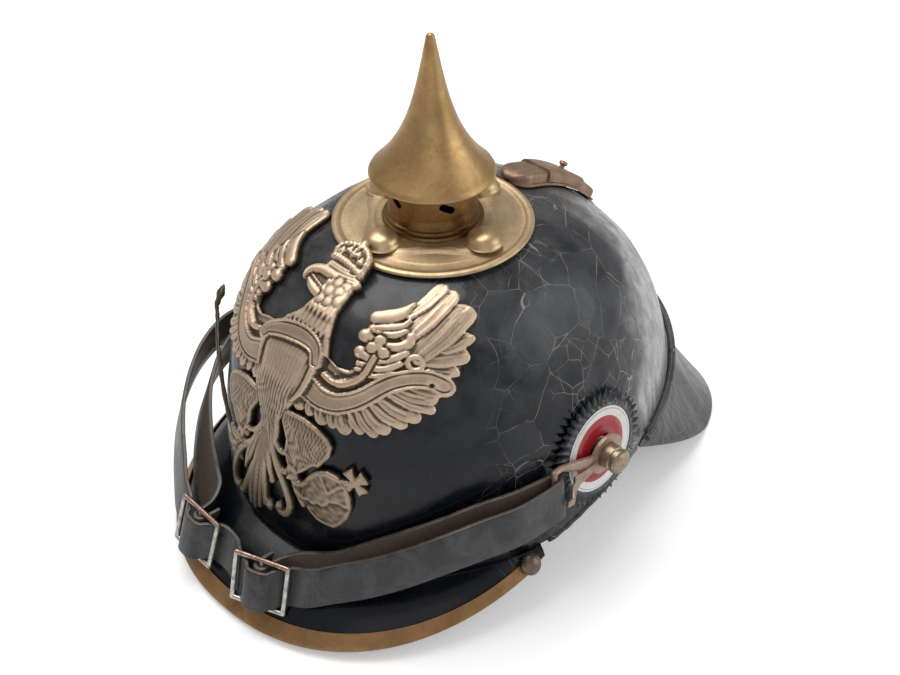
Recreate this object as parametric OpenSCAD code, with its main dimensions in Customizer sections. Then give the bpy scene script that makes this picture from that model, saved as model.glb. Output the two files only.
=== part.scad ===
// Leather spiked helmet with brass fittings, other ranks' pattern.
// +Z is up, the front peak points to -Y and the wearer's left is +X.
// The helmet stands on the tip of its front visor and the hem of its neck guard.

/* [Leather shell] */
// Half width of the shell over the ears
half_w = 94; // [90:1:98]
// Crown axis to the brow
brow_r = 108; // [104:1:111]
// Crown axis to the nape
nape_r = 126; // [122:1:130]
// Height of the crown above the table
crown_z = 148; // [146:0.5:152]
// Height of the front rim above the table
rim_z = 26; // [24:1:28]
// Squareness of the shell's plan, 2 is an ellipse
plan_n = 2.15; // [2:0.05:2.4]
// Squareness of the brow's profile
brow_n = 3.75; // [3.4:0.05:4]
// Squareness of the nape's profile
nape_n = 2.95; // [2.7:0.05:3.2]
// How far the crown lies ahead of the widest section
crown_lead = 6; // [4:0.5:8]
// Rise of the rim towards the nape, height for each unit of length
rim_rise = 0.23; // [0.2:0.01:0.25]
// Thickness of the shell's leather
shell_t = 2.6; // [2:0.1:3]
// Width of the air hole in the crown
air_hole = 24; // [20:1:28]

/* [Visor and neck guard] */
// Reach of the front visor ahead of the brow
visor_out = 33; // [29:1:37]
// Half width of the visor's hem
visor_w = 95; // [93:1:97]
// Height of the visor's ends above the table
visor_end_z = 23; // [20:1:25]
// Thickness of the visor and guard leather
brim_t = 2.4; // [2:0.1:3]
// Reach of the neck guard behind the nape
guard_out = 24; // [20:1:30]
// Half width of the guard's hem
guard_w = 89; // [87:1:91]
// Thickness of the rolled welt over the guard's seam
welt_d = 4; // [3:0.5:5]
// Width of the brass trim on the visor
trim_w = 7.5; // [6:0.5:9]
// Thickness of the trim's sheet brass
trim_t = 0.8; // [0.6:0.1:1]
// Width of the stud at each end of the trim
trim_stud_d = 10; // [8:0.5:11]

/* [Spike and base plate] */
// Radius of the base plate
plate_r = 45; // [43:0.5:46]
// Thickness of the sheet brass
brass_t = 0.9; // [0.7:0.1:1.1]
// Distance of the four studs from the spike's axis
stud_ring = 31; // [30:0.5:33]
// Width of a domed stud
stud_d = 15; // [13:0.5:16]
// Outer radius of the spike's neck
neck_r = 20; // [18:0.5:21]
// Height of the neck above the base plate
neck_h = 23; // [21:0.5:26]
// Number of air holes round the neck
neck_holes = 5; // [3:1:7]
// Radius of the spike's flare
flare_r = 27.8; // [26:0.2:29]
// Height of the spike above its flare
spike_h = 64; // [55:1:75]
// Radius of the spike's point
tip_r = 1.6; // [1.2:0.1:2.5]

/* [Rear spine] */
// Width of the spine strip
spine_w = 14; // [12:1:16]
// Height of the vent track over the shell
track_h = 5.5; // [4.5:0.5:6]
// Width of the vent track
track_w = 17; // [15:0.5:18]
// Length of the sliding vent cover
slide_len = 30; // [26:1:34]
// Width of the cover's knob
knob_d = 4.4; // [3.6:0.2:5]

/* [Cockades and side posts] */
// Radius of a cockade
cockade_r = 29; // [27:0.5:30]
// Pleats round its rim
pleats = 44; // [36:1:50]
// Diameter of the side post
post_d = 12; // [10:0.5:13]
// Length of the post outside the cockade
post_len = 13; // [11:0.5:15]
// Thickness of the strap lug
lug_t = 1.6; // [1.2:0.1:2]

/* [Chin strap] */
// Width of the strap
strap_w = 19; // [16:1:20]
// Thickness of the strap leather
strap_t = 2; // [1.6:0.1:2.4]
// Thickness of the buckle wire
wire_d = 2.4; // [2:0.1:2.8]

/* [Eagle plate] */
// Thickness of the stamped sheet
eagle_t = 1; // [0.8:0.1:1.2]
// Height of the feathers over the sheet
feather_h = 1.1; // [0.8:0.1:1.5]
// Height of the breast, head and scroll over the sheet
relief_h = 2.4; // [2:0.1:3]
// Tilt of the plate on the shell
eagle_tilt = 1.5; // [0:0.5:3]

/* [Sweatband] */
// Height of the sweatband
band_h = 34; // [30:1:38]
// Number of leather fingers
fingers = 11; // [9:1:12]
// Thickness of the lining leather
lining_t = 1.3; // [1:0.1:1.6]

/* [Hidden] */
$fn = 48;
// Clearance between seated faces
seat = 0.3;
// Allowance for the flats of a curved skin over its true surface
flats = 0.5;
leather = "#1c1b1d";
brass = "#a3874f";
old_brass = "#958a66";
copper = "#8a5f48";
steel = "#9a9893";
tan_leather = "#8b6a45";

// Reach of each brim from the crown axis
visor_reach = brow_r + visor_out;
guard_reach = nape_r + guard_out;

// Signed power, the parameter form of a superellipse
function spow(v, n) = sign(v) * pow(abs(v), n);
function unit(v) = v / norm(v);
// Point of the shell at heading u and height share s, standing off by off
function shell_pt(u, s, off = 0) =
    let (m = brow_n + (nape_n - brow_n) * (sin(u) > 0 ? pow(sin(u), 2) : 0))
    let (r = pow(max(1 - s * s, 0), 1 / m))
    let (long = (sin(u) < 0 ? brow_r : nape_r) + off)
    [(half_w + off) * r * spow(cos(u), 2 / plan_n),
     long * r * spow(sin(u), 2 / plan_n) - crown_lead * s,
     rim_z + (crown_z - rim_z + off) * s];
// Share of the crown's height that lies at height z
function share(z, off = 0) = (z - rim_z) / (crown_z - rim_z + off);
// Height of the shell's rim at heading u
function rim_at(u) = rim_z + rim_rise * max(0, 0.95 * nape_r * spow(sin(u), 2 / plan_n) + 25);
// Outward normal of the shell
function shell_n(u, s) =
    let (a = shell_pt(u + 1, s) - shell_pt(u - 1, s))
    let (b = shell_pt(u, s + 0.004) - shell_pt(u, s - 0.004))
    unit(cross(a, b));

// Closed skin between two grids of points. From outside, columns run to the right, rows up.
module skin(over, under, loop = false) {
    nr = len(over);
    nc = len(over[0]);
    last = nr - 1;
    end = nc - 1;
    cols = loop ? nc - 1 : nc - 2;
    points = [for (g = [over, under], row = g, p = row) p];
    function a(i, j) = i * nc + j % nc;
    function b(i, j) = nr * nc + a(i, j);
    polyhedron(points, [
        for (i = [0:nr - 2], j = [0:cols]) each [
            [a(i, j), a(i + 1, j + 1), a(i, j + 1)],
            [a(i, j), a(i + 1, j), a(i + 1, j + 1)],
            [b(i, j), b(i, j + 1), b(i + 1, j + 1)],
            [b(i, j), b(i + 1, j + 1), b(i + 1, j)]],
        for (j = [0:cols]) each [
            [a(0, j), a(0, j + 1), b(0, j + 1)],
            [a(0, j), b(0, j + 1), b(0, j)],
            [a(last, j + 1), a(last, j), b(last, j)],
            [a(last, j + 1), b(last, j), b(last, j + 1)]],
        if (!loop) for (i = [0:nr - 2]) each [
            [a(i + 1, 0), a(i, 0), b(i, 0)],
            [a(i + 1, 0), b(i, 0), b(i + 1, 0)],
            [a(i, end), a(i + 1, end), b(i + 1, end)],
            [a(i, end), b(i + 1, end), b(i, end)]]]);
}

// Rod of equal round sections along a row of points
module rod(path, d, sides = 8) {
    n = len(path);
    ring = [for (i = [0:n - 1])
        let (t = unit(path[min(i + 1, n - 1)] - path[max(i - 1, 0)]))
        let (s = unit(cross(t, [0, 0, 1])))
        let (w = cross(s, t))
        for (k = [0:sides - 1])
            path[i] + d / 2 * (s * cos(360 * k / sides) + w * sin(360 * k / sides))];
    polyhedron(ring, [
        [for (k = [sides - 1:-1:0]) k],
        for (i = [0:n - 2], k = [0:sides - 1])
            let (p = i * sides + k, q = i * sides + (k + 1) % sides) each [
            [p, q, q + sides],
            [p, q + sides, p + sides]],
        [for (k = [0:sides - 1]) (n - 1) * sides + k]]);
}

// Stands a piece on the shell at heading u and height z, its +Z along the outward normal
module on_shell(u, z, off = 0) {
    p = shell_pt(u, share(z));
    n = shell_n(u, share(z));
    translate(p + n * off)
        rotate([0, acos(n[2]), atan2(n[1], n[0])])
            children();
}

// Shell

eye_u = [for (x = [-1, 1]) -90 + x * 22];
eye_z = 112;
spine_stud_z = 84;
shank_d = 3;
loop_d = 4.6;
hole_play = 0.6;

// Holes for the crown studs, the side posts and the loops of the eagle plate
module shell_holes() {
    translate([0, -crown_lead, crown_z - 14])
        at_studs()
            cylinder(h = 30, d = shank_d + hole_play);
    for (x = [-1, 1])
        post_place(x)
            translate([0, 0, -9])
                cylinder(h = 18, d = shank_d + hole_play);
    for (u = eye_u)
        on_shell(u, eye_z)
            translate([0, 0, -9])
                cylinder(h = 18, d = loop_d + hole_play);
    on_vent(vent_at, vent_r - 12)
        cylinder(h = 24, d = track_w / 2);
}

module skull() {
    cols = 44;
    rows = 11;
    top_th = acos(pow(air_hole / 2 / half_w, brow_n / 2));
    function th(u, k) = let (t0 = asin(share(rim_at(u)))) t0 + (top_th - t0) * (1 - pow(1 - k / rows, 1.5));
    function grid(off) = [for (k = [0:rows]) [for (j = [0:cols - 1])
        let (u = 360 * j / cols) shell_pt(u, sin(th(u, k)), off)]];
    color(leather)
        difference() {
            skin(grid(0), grid(-shell_t), true);
            shell_holes();
        }
}

// Visor and neck guard

visor_u = 77;
// Lift of each hem that brings the trim's and the guard's undersides down to one plane
visor_foot = 2.94;
guard_foot = 1.6;
lip_h = 7;
lip_off = -shell_t - seat - flats;

// Hem of the visor, from the wearer's right to the left as t runs from -90 to 90
function visor_hem(t) =
    let (k = abs(cos(t)), s = abs(sin(t)))
    [visor_w * spow(sin(t), 0.9), -24 - (visor_reach - 24) * pow(k, 0.82),
     visor_foot + visor_end_z * (1 - pow(k, 0.55))];
function visor_seam(t) = -90 + t / 90 * visor_u;
// Upper face of the visor, v from the seam to the hem
function visor_pt(t, v) =
    let (u = visor_seam(t))
    let (a = shell_pt(u, 0, 0.4), b = visor_hem(t))
    let (p = [a[0], a[1], rim_z - seat - 0.4])
    let (swell = 3.4 * sin(180 * v) * max(cos(t), 0.15))
    p + (b - p) * v + swell * unit([b[0] * 0.6, b[1] * 0.6, 60]);
function visor_n(t, v) =
    let (a = visor_pt(t + 0.5, v) - visor_pt(t - 0.5, v))
    let (b = visor_pt(t, min(v + 0.03, 1)) - visor_pt(t, min(v + 0.03, 1) - 0.06))
    unit(cross(b, a));
visor_cols = 32;
visor_v = [0, 0.35, 0.7, 1];

module front_visor() {
    ts = [for (j = [0:visor_cols]) -88 + 176 * j / visor_cols];
    under = [for (v = visor_v) [for (t = ts) visor_pt(t, v) - brim_t * visor_n(t, v)]];
    over = [for (v = visor_v) [for (t = ts) visor_pt(t, v)]];
    function lip(z, off) = [for (t = ts) let (p = shell_pt(visor_seam(t), 0, off)) [p[0], p[1], z]];
    color(leather)
        skin(concat([for (k = [3:-1:0]) over[k]], [lip(rim_z - seat - 0.4, lip_off), lip(rim_z + lip_h, lip_off)]),
             concat([for (k = [3:-1:0]) under[k]], [lip(rim_z - brim_t, lip_off - brim_t), lip(rim_z + lip_h, lip_off - brim_t)]));
}

guard_u = 17;
guard_cols = 28;
guard_v = [0, 0.3, 0.65, 1];
guard_side_y = 40;

// Hem of the neck guard, from the wearer's left to the right as t runs from -90 to 90
function guard_hem(t) =
    let (c = abs(cos(t)), s = abs(sin(t)))
    let (r = pow(pow(c, 3.2) + pow(s, 3.2), -1 / 3.2))
    let (y = guard_side_y + (guard_reach - guard_side_y) * r * c)
    [-guard_w * r * spow(sin(t), 1), y,
     guard_foot + (rim_at(guard_u) - 3 - guard_foot) * pow(max(0, 1 - (y - guard_side_y) / 70), 1.15)];
function guard_seam(t) = 90 + t / 90 * (90 - guard_u);
function guard_pt(t, v) =
    let (u = guard_seam(t))
    let (a = shell_pt(u, share(rim_at(u)), 0.4), b = guard_hem(t))
    let (p = [a[0], a[1], rim_at(u) - seat - 0.6])
    let (swell = -3 * sin(180 * v) * max(cos(t), 0))
    p + (b - p) * v + swell * unit([b[0] * 0.6, b[1] * 0.6, 50]);
function guard_n(t, v) =
    let (a = guard_pt(t + 0.5, v) - guard_pt(t - 0.5, v))
    let (b = guard_pt(t, min(v + 0.03, 1)) - guard_pt(t, min(v + 0.03, 1) - 0.06))
    unit(cross(b, a));

function guard_under(t, v) = guard_pt(t, v) - brim_t * guard_n(t, v);

module neck_guard() {
    ts = [for (j = [0:guard_cols]) -89 + 178 * j / guard_cols];
    over = [for (v = guard_v) [for (t = ts) guard_pt(t, v)]];
    under = [for (v = guard_v) [for (t = ts) guard_under(t, v)]];
    function lip(dz, off) = [for (t = ts)
        let (u = guard_seam(t), z = rim_at(u) + dz)
        let (p = shell_pt(u, share(z), off - 0.2)) [p[0], p[1], z]];
    color(leather)
        skin(concat([for (k = [3:-1:0]) over[k]], [lip(-seat - 0.4, lip_off), lip(lip_h, lip_off)]),
             concat([for (k = [3:-1:0]) under[k]], [lip(-brim_t, lip_off - brim_t), lip(lip_h, lip_off - brim_t)]));
}

// Brass channel folded over the visor's hem. Its section runs from the upper edge round the hem
// to the lower edge, k outside the inner face.
function trim_section(k) =
    let (g = seat + 0.1)
    [[-trim_w, -brim_t - g - k], [g + k * 0.4, -brim_t - g - k], [g + k * 1.2, -brim_t / 2],
     [g + k * 0.4, g + k], [-trim_w, g + k]];
function trim_pt(t, p) =
    let (whole = norm(visor_pt(t, 1) - visor_pt(t, 0)))
    let (v = 1 + max(p[0], -0.6 * whole) / whole)
    visor_pt(t, v) + visor_n(t, min(v, 1)) * p[1];
function trim_grid(k) = [for (p = trim_section(k)) [for (j = [0:visor_cols])
    trim_pt(-86 + 172 * j / visor_cols, p)]];

module visor_trim() {
    color(brass)
        skin(trim_grid(trim_t), trim_grid(0));
}

// Rolled leather welt along the seam of the guard
module guard_welt() {
    out = welt_d / 2 + seat + 0.1;
    path = [for (j = [guard_cols:-1:0])
        let (u = guard_seam(-88 + 176 * j / guard_cols), z = rim_at(u) + welt_d * 0.4)
        shell_pt(u, share(z)) + out * shell_n(u, share(z))];
    color(leather)
        rod(path, welt_d);
}

module trim_studs() {
    for (t = [-84, 84]) {
        p = visor_pt(t, 1);
        n = visor_n(t, 1);
        inward = unit(visor_pt(t, 0.9) - p);
        translate(p + inward * (trim_stud_d / 2 - 1) + n * (seat * 2 + trim_t))
            rotate([0, acos(n[2]), atan2(n[1], n[0])])
                color(copper)
                    dome(trim_stud_d / 2, trim_stud_d * 0.3, 1);
    }
}

// Domed stud standing on its rim, with a plain edge
module dome(r, h, edge) {
    big = (r * r + h * h) / (2 * h);
    arc = asin(min(1, r / big));
    rotate_extrude()
        polygon(concat([[0, 0], [r, 0]],
            [for (k = [0:6]) let (a = arc * (1 - k / 6)) [big * sin(a), edge + h - big + big * cos(a)]]));
}

// Spike and base plate

plate_z = crown_z + 0.5;

module base_plate() {
    lip = plate_r - 2.4;
    ridge = stud_ring + 2;
    under = [[air_hole / 2, 0.1], [ridge - 1, 0.1], [ridge + 1.5, -0.4], [(ridge + lip) / 2 + 1, -1.3],
        [lip - 0.8, -1.7], [lip, -1.9], [plate_r - 0.5, -1.9]];
    face = [[plate_r, -1.4], [plate_r - 0.3, -0.9], [plate_r - 1, -0.6], [lip + 0.5, -0.7],
        [lip - 0.1, -1.2], [lip - 0.9, -1], [(ridge + lip) / 2 + 1, -0.5], [ridge + 1.5, 0.4],
        [ridge - 0.8, 1], [air_hole / 2, 1]];
    color(brass)
        translate([0, -crown_lead, plate_z])
            difference() {
                rotate_extrude()
                    polygon(concat(under, face));
                at_studs()
                    translate([0, 0, -4])
                        cylinder(h = 8, d = shank_d + hole_play);
            }
}

module at_studs() {
    for (k = [0:3])
        translate([stud_ring * cos(90 * k), stud_ring * sin(90 * k), 0])
            children();
}

washer_z = crown_z - shell_t - 2.4;

// Domed brass studs, each with a shank whose two prongs are bent over inside the crown
module dome_studs() {
    seat_z = plate_z + 1 + seat;
    foot = washer_z - 1.4;
    color(brass)
        translate([0, -crown_lead, 0])
            at_studs() {
                translate([0, 0, seat_z])
                    dome(stud_d / 2, stud_d * 0.3, 0.8);
                translate([0, 0, foot])
                    cylinder(h = seat_z - foot + 0.5, d = shank_d);
                translate([0, 0, foot - 0.5])
                    cube([9, 2.4, 1], center = true);
            }
}

module stud_washers() {
    color(tan_leather)
        translate([0, -crown_lead, washer_z - 1.2])
            at_studs()
                difference() {
                    cylinder(h = 1.2, d = 12);
                    translate([0, 0, -1])
                        cylinder(h = 4, d = shank_d + hole_play);
                }
}

neck_z = plate_z + 1.05;
flare_z = neck_z + neck_h;

// Neck tube with a stepped foot and a ring of air holes under the flare
module spike_neck() {
    wall = 1.1;
    color(brass)
        translate([0, -crown_lead, neck_z])
            difference() {
                rotate_extrude()
                    polygon([[neck_r - wall, 0], [neck_r + 2.4, 0], [neck_r + 2.6, 0.6], [neck_r + 2.2, 1.6],
                        [neck_r + 1.2, 1.9], [neck_r + 1.2, 2.6], [neck_r + 1, 3.4], [neck_r + 0.1, 3.9],
                        [neck_r - 0.4, 8], [neck_r - 0.4, neck_h + 2], [neck_r - wall, neck_h + 2]]);
                for (k = [0:neck_holes - 1])
                    rotate([0, 0, 360 * k / neck_holes - 98])
                        translate([0, 0, neck_h - 8.5])
                            rotate([0, 90, 0])
                                rotate([0, 0, 60])
                                    air_slot();
            }
}

module air_slot() {
    slot_w = 3.4;
    slot_l = 4.2;
    for (x = [-slot_l / 2, slot_l / 2])
        translate([x, 0, 10])
            cylinder(h = 16, d = slot_w, $fn = 24);
    translate([-slot_l / 2, -slot_w / 2, 10])
        cube([slot_l, slot_w, 16]);
}

// Radius of the spike at share f from its point, 0, to its flare, 1
function spike_radius(f) = tip_r + (flare_r - tip_r) * (0.475 * f + 0.525 * pow(f, 4));

module spike() {
    steps = 18;
    wall = 1.2;
    point_z = flare_z + spike_h;
    outer = [for (k = [0:steps]) let (f = 1 - k / steps * 0.97)
        [spike_radius(f), flare_z + 1 + (spike_h - 1) * (1 - f)]];
    inner = [for (k = [0:steps - 4]) [outer[k][0] - wall, outer[k][1] - wall * 0.4]];
    color(brass)
        translate([0, -crown_lead, 0])
            rotate_extrude()
                polygon(concat(
                    [[neck_r, flare_z - 1], [flare_r - 1.4, flare_z - 1], [flare_r - 0.3, flare_z - 0.6],
                     [flare_r, flare_z + 0.3]],
                    outer, [[tip_r * 0.7, point_z], [0, point_z + 0.6], [0, inner[steps - 4][1] + 4]],
                    [for (k = [steps - 4:-1:0]) inner[k]], [[flare_r - 2, flare_z], [neck_r, flare_z]]));
}

// Rear spine and its sliding vent

// The vent track follows one circle laid through three points of the nape
va = shell_pt(90, 0.96);
vb = shell_pt(90, 0.9);
vc = shell_pt(90, 0.76);
function circle_z(a, b, c) =
    let (ma = (a + b) / 2, mb = (b + c) / 2, da = b - a, db = c - b)
    (ma * da * db[1] - mb * db * da[1]) / (da[2] * db[1] - db[2] * da[1]);
vent_cz = circle_z(va, vb, vc);
vent_cy = ((va + vb) / 2 * (vb - va) - vent_cz * (vb - va)[2]) / (vb - va)[1];
vent_r = norm([vb[1] - vent_cy, vb[2] - vent_cz]) + seat + 0.5;
track_from = 16;
track_to = 48;
slide_from = 23;
slide_to = slide_from + slide_len / (vent_r + track_h) * 180 / PI;

// Revolves a profile about the vent's cross axis from lean a to lean b behind the vertical
module vent_arc(a, b) {
    translate([0, vent_cy, vent_cz])
        rotate([0, 90, 0])
            rotate([0, 0, 180 - b])
                rotate_extrude(angle = b - a, $fn = 180)
                    children();
}

// Stands children on the vent's circle at lean a, radius r, +Z outwards
module on_vent(a, r) {
    translate([0, vent_cy, vent_cz])
        rotate([-a, 0, 0])
            translate([0, 0, r])
                children();
}

// Point of the vent's circle at lean a, x across and h above its radius
function vent_pt(a, x, h) = [x, vent_cy + (vent_r + h) * sin(a), vent_cz + (vent_r + h) * cos(a)];
vent_at = slide_from + 4;

// Hat-shaped track with a rounded nose, f narrowing it to its tip
module vent_track() {
    c = 2.4;
    t = brass_t;
    flange = 2;
    nose = track_w / 2 / vent_r * 180 / PI;
    leans = concat([for (k = [0:10]) track_to + (track_from - track_to) * k / 10],
        [for (k = [0.35, 0.62, 0.82, 0.95]) track_from - nose * k]);
    function top(f) = let (half = track_w / 2 * f, h = t + (track_h - t) * pow(f, 0.6))
        [[half + flange, t], [half, t], [half, h - c * f], [half - c * f, h]];
    function inner(f) = let (o = top(f))
        [[o[0][0], 0], [o[1][0] - t * f, 0], [o[2][0] - t * f, o[2][1] - t], [o[3][0] - t * f * 0.5, o[3][1] - t]];
    function row(a, p) = concat([for (q = p) vent_pt(a, q[0], q[1])],
        [for (k = [3:-1:0]) vent_pt(a, -p[k][0], p[k][1])]);
    function narrow(a) = sqrt(1 - pow(max(0, track_from - a) / nose, 2));
    color(copper)
        difference() {
            skin([for (a = leans) row(a, top(narrow(a)))], [for (a = leans) row(a, inner(narrow(a)))]);
            for (a = [-1.6, 1.6])
                on_vent(vent_at + a, vent_r)
                    cylinder(h = 12, d = 4);
        }
}

slide_gap = 0.2;

module vent_slide() {
    half = track_w / 2 + slide_gap;
    r = vent_r + brass_t + slide_gap;
    top = vent_r + track_h + slide_gap;
    c = 2.4;
    inner = [[r, half], [top - c, half], [top, half - c]];
    outer = [[r, half + brass_t], [top - c + 0.4, half + brass_t], [top + brass_t, half - c + 0.4]];
    color(copper)
        vent_arc(slide_from, slide_to)
            polygon(concat(outer, [for (k = [2:-1:0]) [outer[k][0], -outer[k][1]]],
                [for (p = inner) [p[0], -p[1]]], [for (k = [2:-1:0]) inner[k]]));
}

module vent_knob() {
    h = knob_d * 0.8;
    color(brass)
        on_vent(slide_from + (slide_to - slide_from) * 0.68, vent_r + track_h + slide_gap + brass_t + 0.1)
            rotate_extrude()
                polygon([[0, 0], [knob_d * 0.3, 0], [knob_d * 0.26, h * 0.3], [knob_d * 0.42, h * 0.42],
                    [knob_d / 2, h * 0.65], [knob_d * 0.4, h * 0.9], [0, h]]);
}

// Strip down the nape, over the welt and down the guard to its hem
spine_t = 1.4;

module rear_spine() {
    lift = seat + flats;
    z_top = vent_cz + vent_r * cos(track_to) - 2;
    z_foot = rim_at(90) + welt_d + 6;
    guard_rows = [for (v = [1, 0.8, 0.55, 0.3]) [guard_pt(0, v), guard_n(0, v), lift]];
    z_welt = rim_at(90) + welt_d * 0.4;
    welt_rows = [for (dz = [-welt_d * 0.55, welt_d * 0.4]) let (s = share(z_welt + dz))
        [shell_pt(90, s), shell_n(90, s), welt_d + 3 * seat]];
    shell_rows = [for (k = [0:4]) let (s = share(z_foot + (z_top - z_foot) * k / 4))
        [shell_pt(90, s), shell_n(90, s), lift]];
    function row(q, t) = [for (x = [1, 0.5, 0, -0.5, -1])
        q[0] + q[1] * (q[2] + t * (1 - 0.35 * x * x)) + [x * spine_w / 2, -x * x * 0.25, 0]];
    rows = concat(guard_rows, welt_rows, shell_rows);
    color(copper)
        skin([for (q = rows) row(q, spine_t)], [for (q = rows) row(q, 0)]);
}

module spine_stud() {
    color(brass)
        on_shell(90, spine_stud_z, seat + flats + spine_t + 0.1)
            dome(4, 1.8, 0.5);
}

// Cockades and side posts

post_y = 4;
post_z = 63;
post_u = asin(pow((post_y + crown_lead * share(post_z)) / nape_r, plan_n / 2));
post_x = shell_pt(post_u, share(post_z))[0];
post_lean = 90 - acos(shell_n(post_u, share(post_z))[2]);
cockade_h = 2.6;
lug_r = post_d / 2 + 4;
lug_x = cockade_h + seat + flats + lug_r * sin(post_lean) + 0.4;

module post_place(x) {
    translate([x * post_x, post_y, post_z])
        rotate([0, x * 90, 0])
            children();
}

// Stands a cockade on the shell, leaning with it
module cockade_place(x) {
    translate([x * post_x, post_y, post_z])
        rotate([0, x * (90 - post_lean), 0])
            translate([0, 0, seat + flats])
                children();
}

// Stamped disc with a dished centre, two plain rings and a pleated rim
module cockade(x) {
    hole = post_d / 2 + 1.2;
    ring = cockade_r * 0.72;
    cols = pleats * 2;
    function edge(r, z, h) = [for (j = [0:cols - 1]) let (a = 360 * j / cols)
        [r[j % 2] * cos(a), r[j % 2] * sin(a), z + h[j % 2]]];
    rim = [edge([ring - 1, ring - 1], 0.5, [0.5, 0]),
        edge([cockade_r, cockade_r - 2.2], -0.6, [0.7, -0.4])];
    cockade_place(x) {
        color("#26282c")
            skin([for (row = [rim[1], rim[0]]) [for (p = row) p + [0, 0, 0.6]]], [rim[1], rim[0]], true);
        color("white")
            rotate_extrude()
                polygon([[hole, 0.4], [hole, cockade_h], [hole + 1.4, cockade_h], [hole + 3, 1.9],
                    [ring * 0.72, 2.3], [ring * 0.8, 1.7], [ring * 0.95, 2], [ring, 1.2], [ring, 0.4],
                    [ring * 0.93, 1.1], [ring * 0.8, 0.8], [ring * 0.7, 1.4], [hole + 2.6, 0.9],
                    [hole + 1.2, 2], [hole + 0.8, 0.4]]);
    }
}

module cockade_left() {
    cockade(1);
}

module cockade_right() {
    cockade(-1);
}

nut_t = 1.8;

// Brass posts that carry the chin strap, each screwed through the shell
module side_posts() {
    r = post_d / 2;
    tail = shell_t + seat + 0.9 + nut_t;
    color(brass)
        for (x = [-1, 1])
            post_place(x)
                rotate_extrude()
                    polygon([[0, -tail], [shank_d / 2, -tail], [shank_d / 2, 0.9], [r + 0.6, 0.9], [r + 0.6, 1.6],
                        [r, 2.2], [r, lug_x + lug_t + 4.5], [r - 0.7, lug_x + lug_t + 5], [r - 0.7, lug_x + lug_t + 6],
                        [r, lug_x + lug_t + 6.4], [r, post_len + 1], [r - 0.5, post_len + 2.2],
                        [r * 0.7, post_len + 3], [0, post_len + 3.4]]);
}

module post_nuts() {
    color(steel)
        for (x = [-1, 1])
            post_place(x)
                translate([0, 0, -shell_t - seat - 0.8 - nut_t])
                    difference() {
                        cylinder(h = nut_t, d = 8.5, $fn = 6);
                        translate([0, 0, -1])
                            cylinder(h = nut_t + 2, d = shank_d + 0.1);
                    }
}

// Chin strap

bar_y = -28.5;
bar_x = post_x + lug_x + lug_t / 2 - 0.6;
bar_d = 3;
fold_r = bar_d / 2 + 0.35 + strap_t / 2;
strap_z = 58;
lug_lean = 10;
// Heading of a point from the shell's middle, 0 at the front
function heading(p) = atan2(p[0], -p[1]);
// Up the strap's width where its top leans inwards by a degrees at heading h
function lean_up(h, a) = [-sin(h) * sin(a), cos(h) * sin(a), cos(a)];
bar_h = heading([bar_x, bar_y]);
function bar_pt(x, d) = [x * bar_x, bar_y, strap_z] + d * lean_up(x * bar_h, lug_lean);

// Ring that turns on the side post, with an arm over the strap's edge and a bar inside its fold
module lug(x) {
    reach = strap_w / 2 + bar_d;
    low = [x * (post_x + lug_x + lug_t / 2), post_y - post_d / 2 - 4, post_z + 1];
    top = bar_pt(x, reach);
    color(copper) {
        post_place(x)
            translate([0, 0, lug_x])
                difference() {
                    cylinder(h = lug_t, r = lug_r);
                    translate([0, 0, -1])
                        cylinder(h = lug_t + 2, r = post_d / 2 + 0.1);
                }
        hull() {
            translate(low)
                rotate([0, 90, 0])
                    cylinder(h = lug_t - 0.2, d = 7, center = true, $fn = 12);
            translate(top + [0, bar_d * 1.5, 0])
                sphere(d = bar_d, $fn = 12);
        }
        hull()
            for (y = [0, bar_d * 1.5])
                translate(top + [0, y, 0])
                    sphere(d = bar_d, $fn = 12);
        translate(bar_pt(x, 1 - strap_w / 2))
            rotate([-lug_lean, 0, x * bar_h])
                cylinder(h = reach + strap_w / 2 - 1, d = bar_d);
    }
}

module lug_left() {
    lug(1);
}

module lug_right() {
    lug(-1);
}

// Half width of the shell and reach of the visor that the strap's points were chosen for
course_w = 94;
course_reach = 141;
// The same point on the shell and visor as they are set
function carried(p) = [p[0] * half_w / course_w, p[1] * visor_reach / course_reach, p[2]];
// Middle of each buckle, its heading and its lean
buckle_l = carried([16.6, -132, 23]);
buckle_r = carried([-28.5, -132, 23]);
turn_l = 20;
turn_r = -3;
buckle_lean = 20;
buckle_len = 26;
eye_r = wire_d / 2 + 0.35 + strap_t / 2;

// The strap's course as points of its middle with its lean there: from the left buckle's middle bar
// back to the left lug, round its bar, forward again and across the front, and the same on the right
left_inner = [[19.8, -124.5, 24, 28], [24.5, -118.7, 25.5, 40], [31.4, -114.4, 27, 42], [40.7, -109, 30.5, 35],
    [52.4, -100.2, 38.5, 28], [63, -91, 45.5, 22], [74, -78, 52, 16], [83, -62.5, 57, 12], [90, -47, 58.5, 10]];
left_outer = [[99, -37, 57.5, 10], [97, -51, 57, 12], [90.5, -68, 56, 14], [82, -83, 52, 14],
    [71, -96, 45, 16], [59, -105.5, 37.5, 18], [46, -114, 30.5, 20], [37, -120.5, 26, 20]];
right_outer = [[-50, -124, 26, 20], [-59, -117.5, 31, 20], [-70, -109, 37, 18], [-81, -98.5, 43.5, 16],
    [-90, -86, 50, 14], [-97, -72, 55, 12], [-101, -56, 58, 10], [-101, -40, 58, 10]];
right_inner = [[-92, -45, 58.5, 10], [-89, -60, 57, 12], [-83, -75, 54, 16], [-74, -88.5, 48.5, 22],
    [-63, -99.5, 42, 28], [-53, -107.5, 35.5, 34], [-44, -113.5, 30, 40], [-37.5, -117.5, 27, 40],
    [-32.5, -124, 24, 28]];
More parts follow.
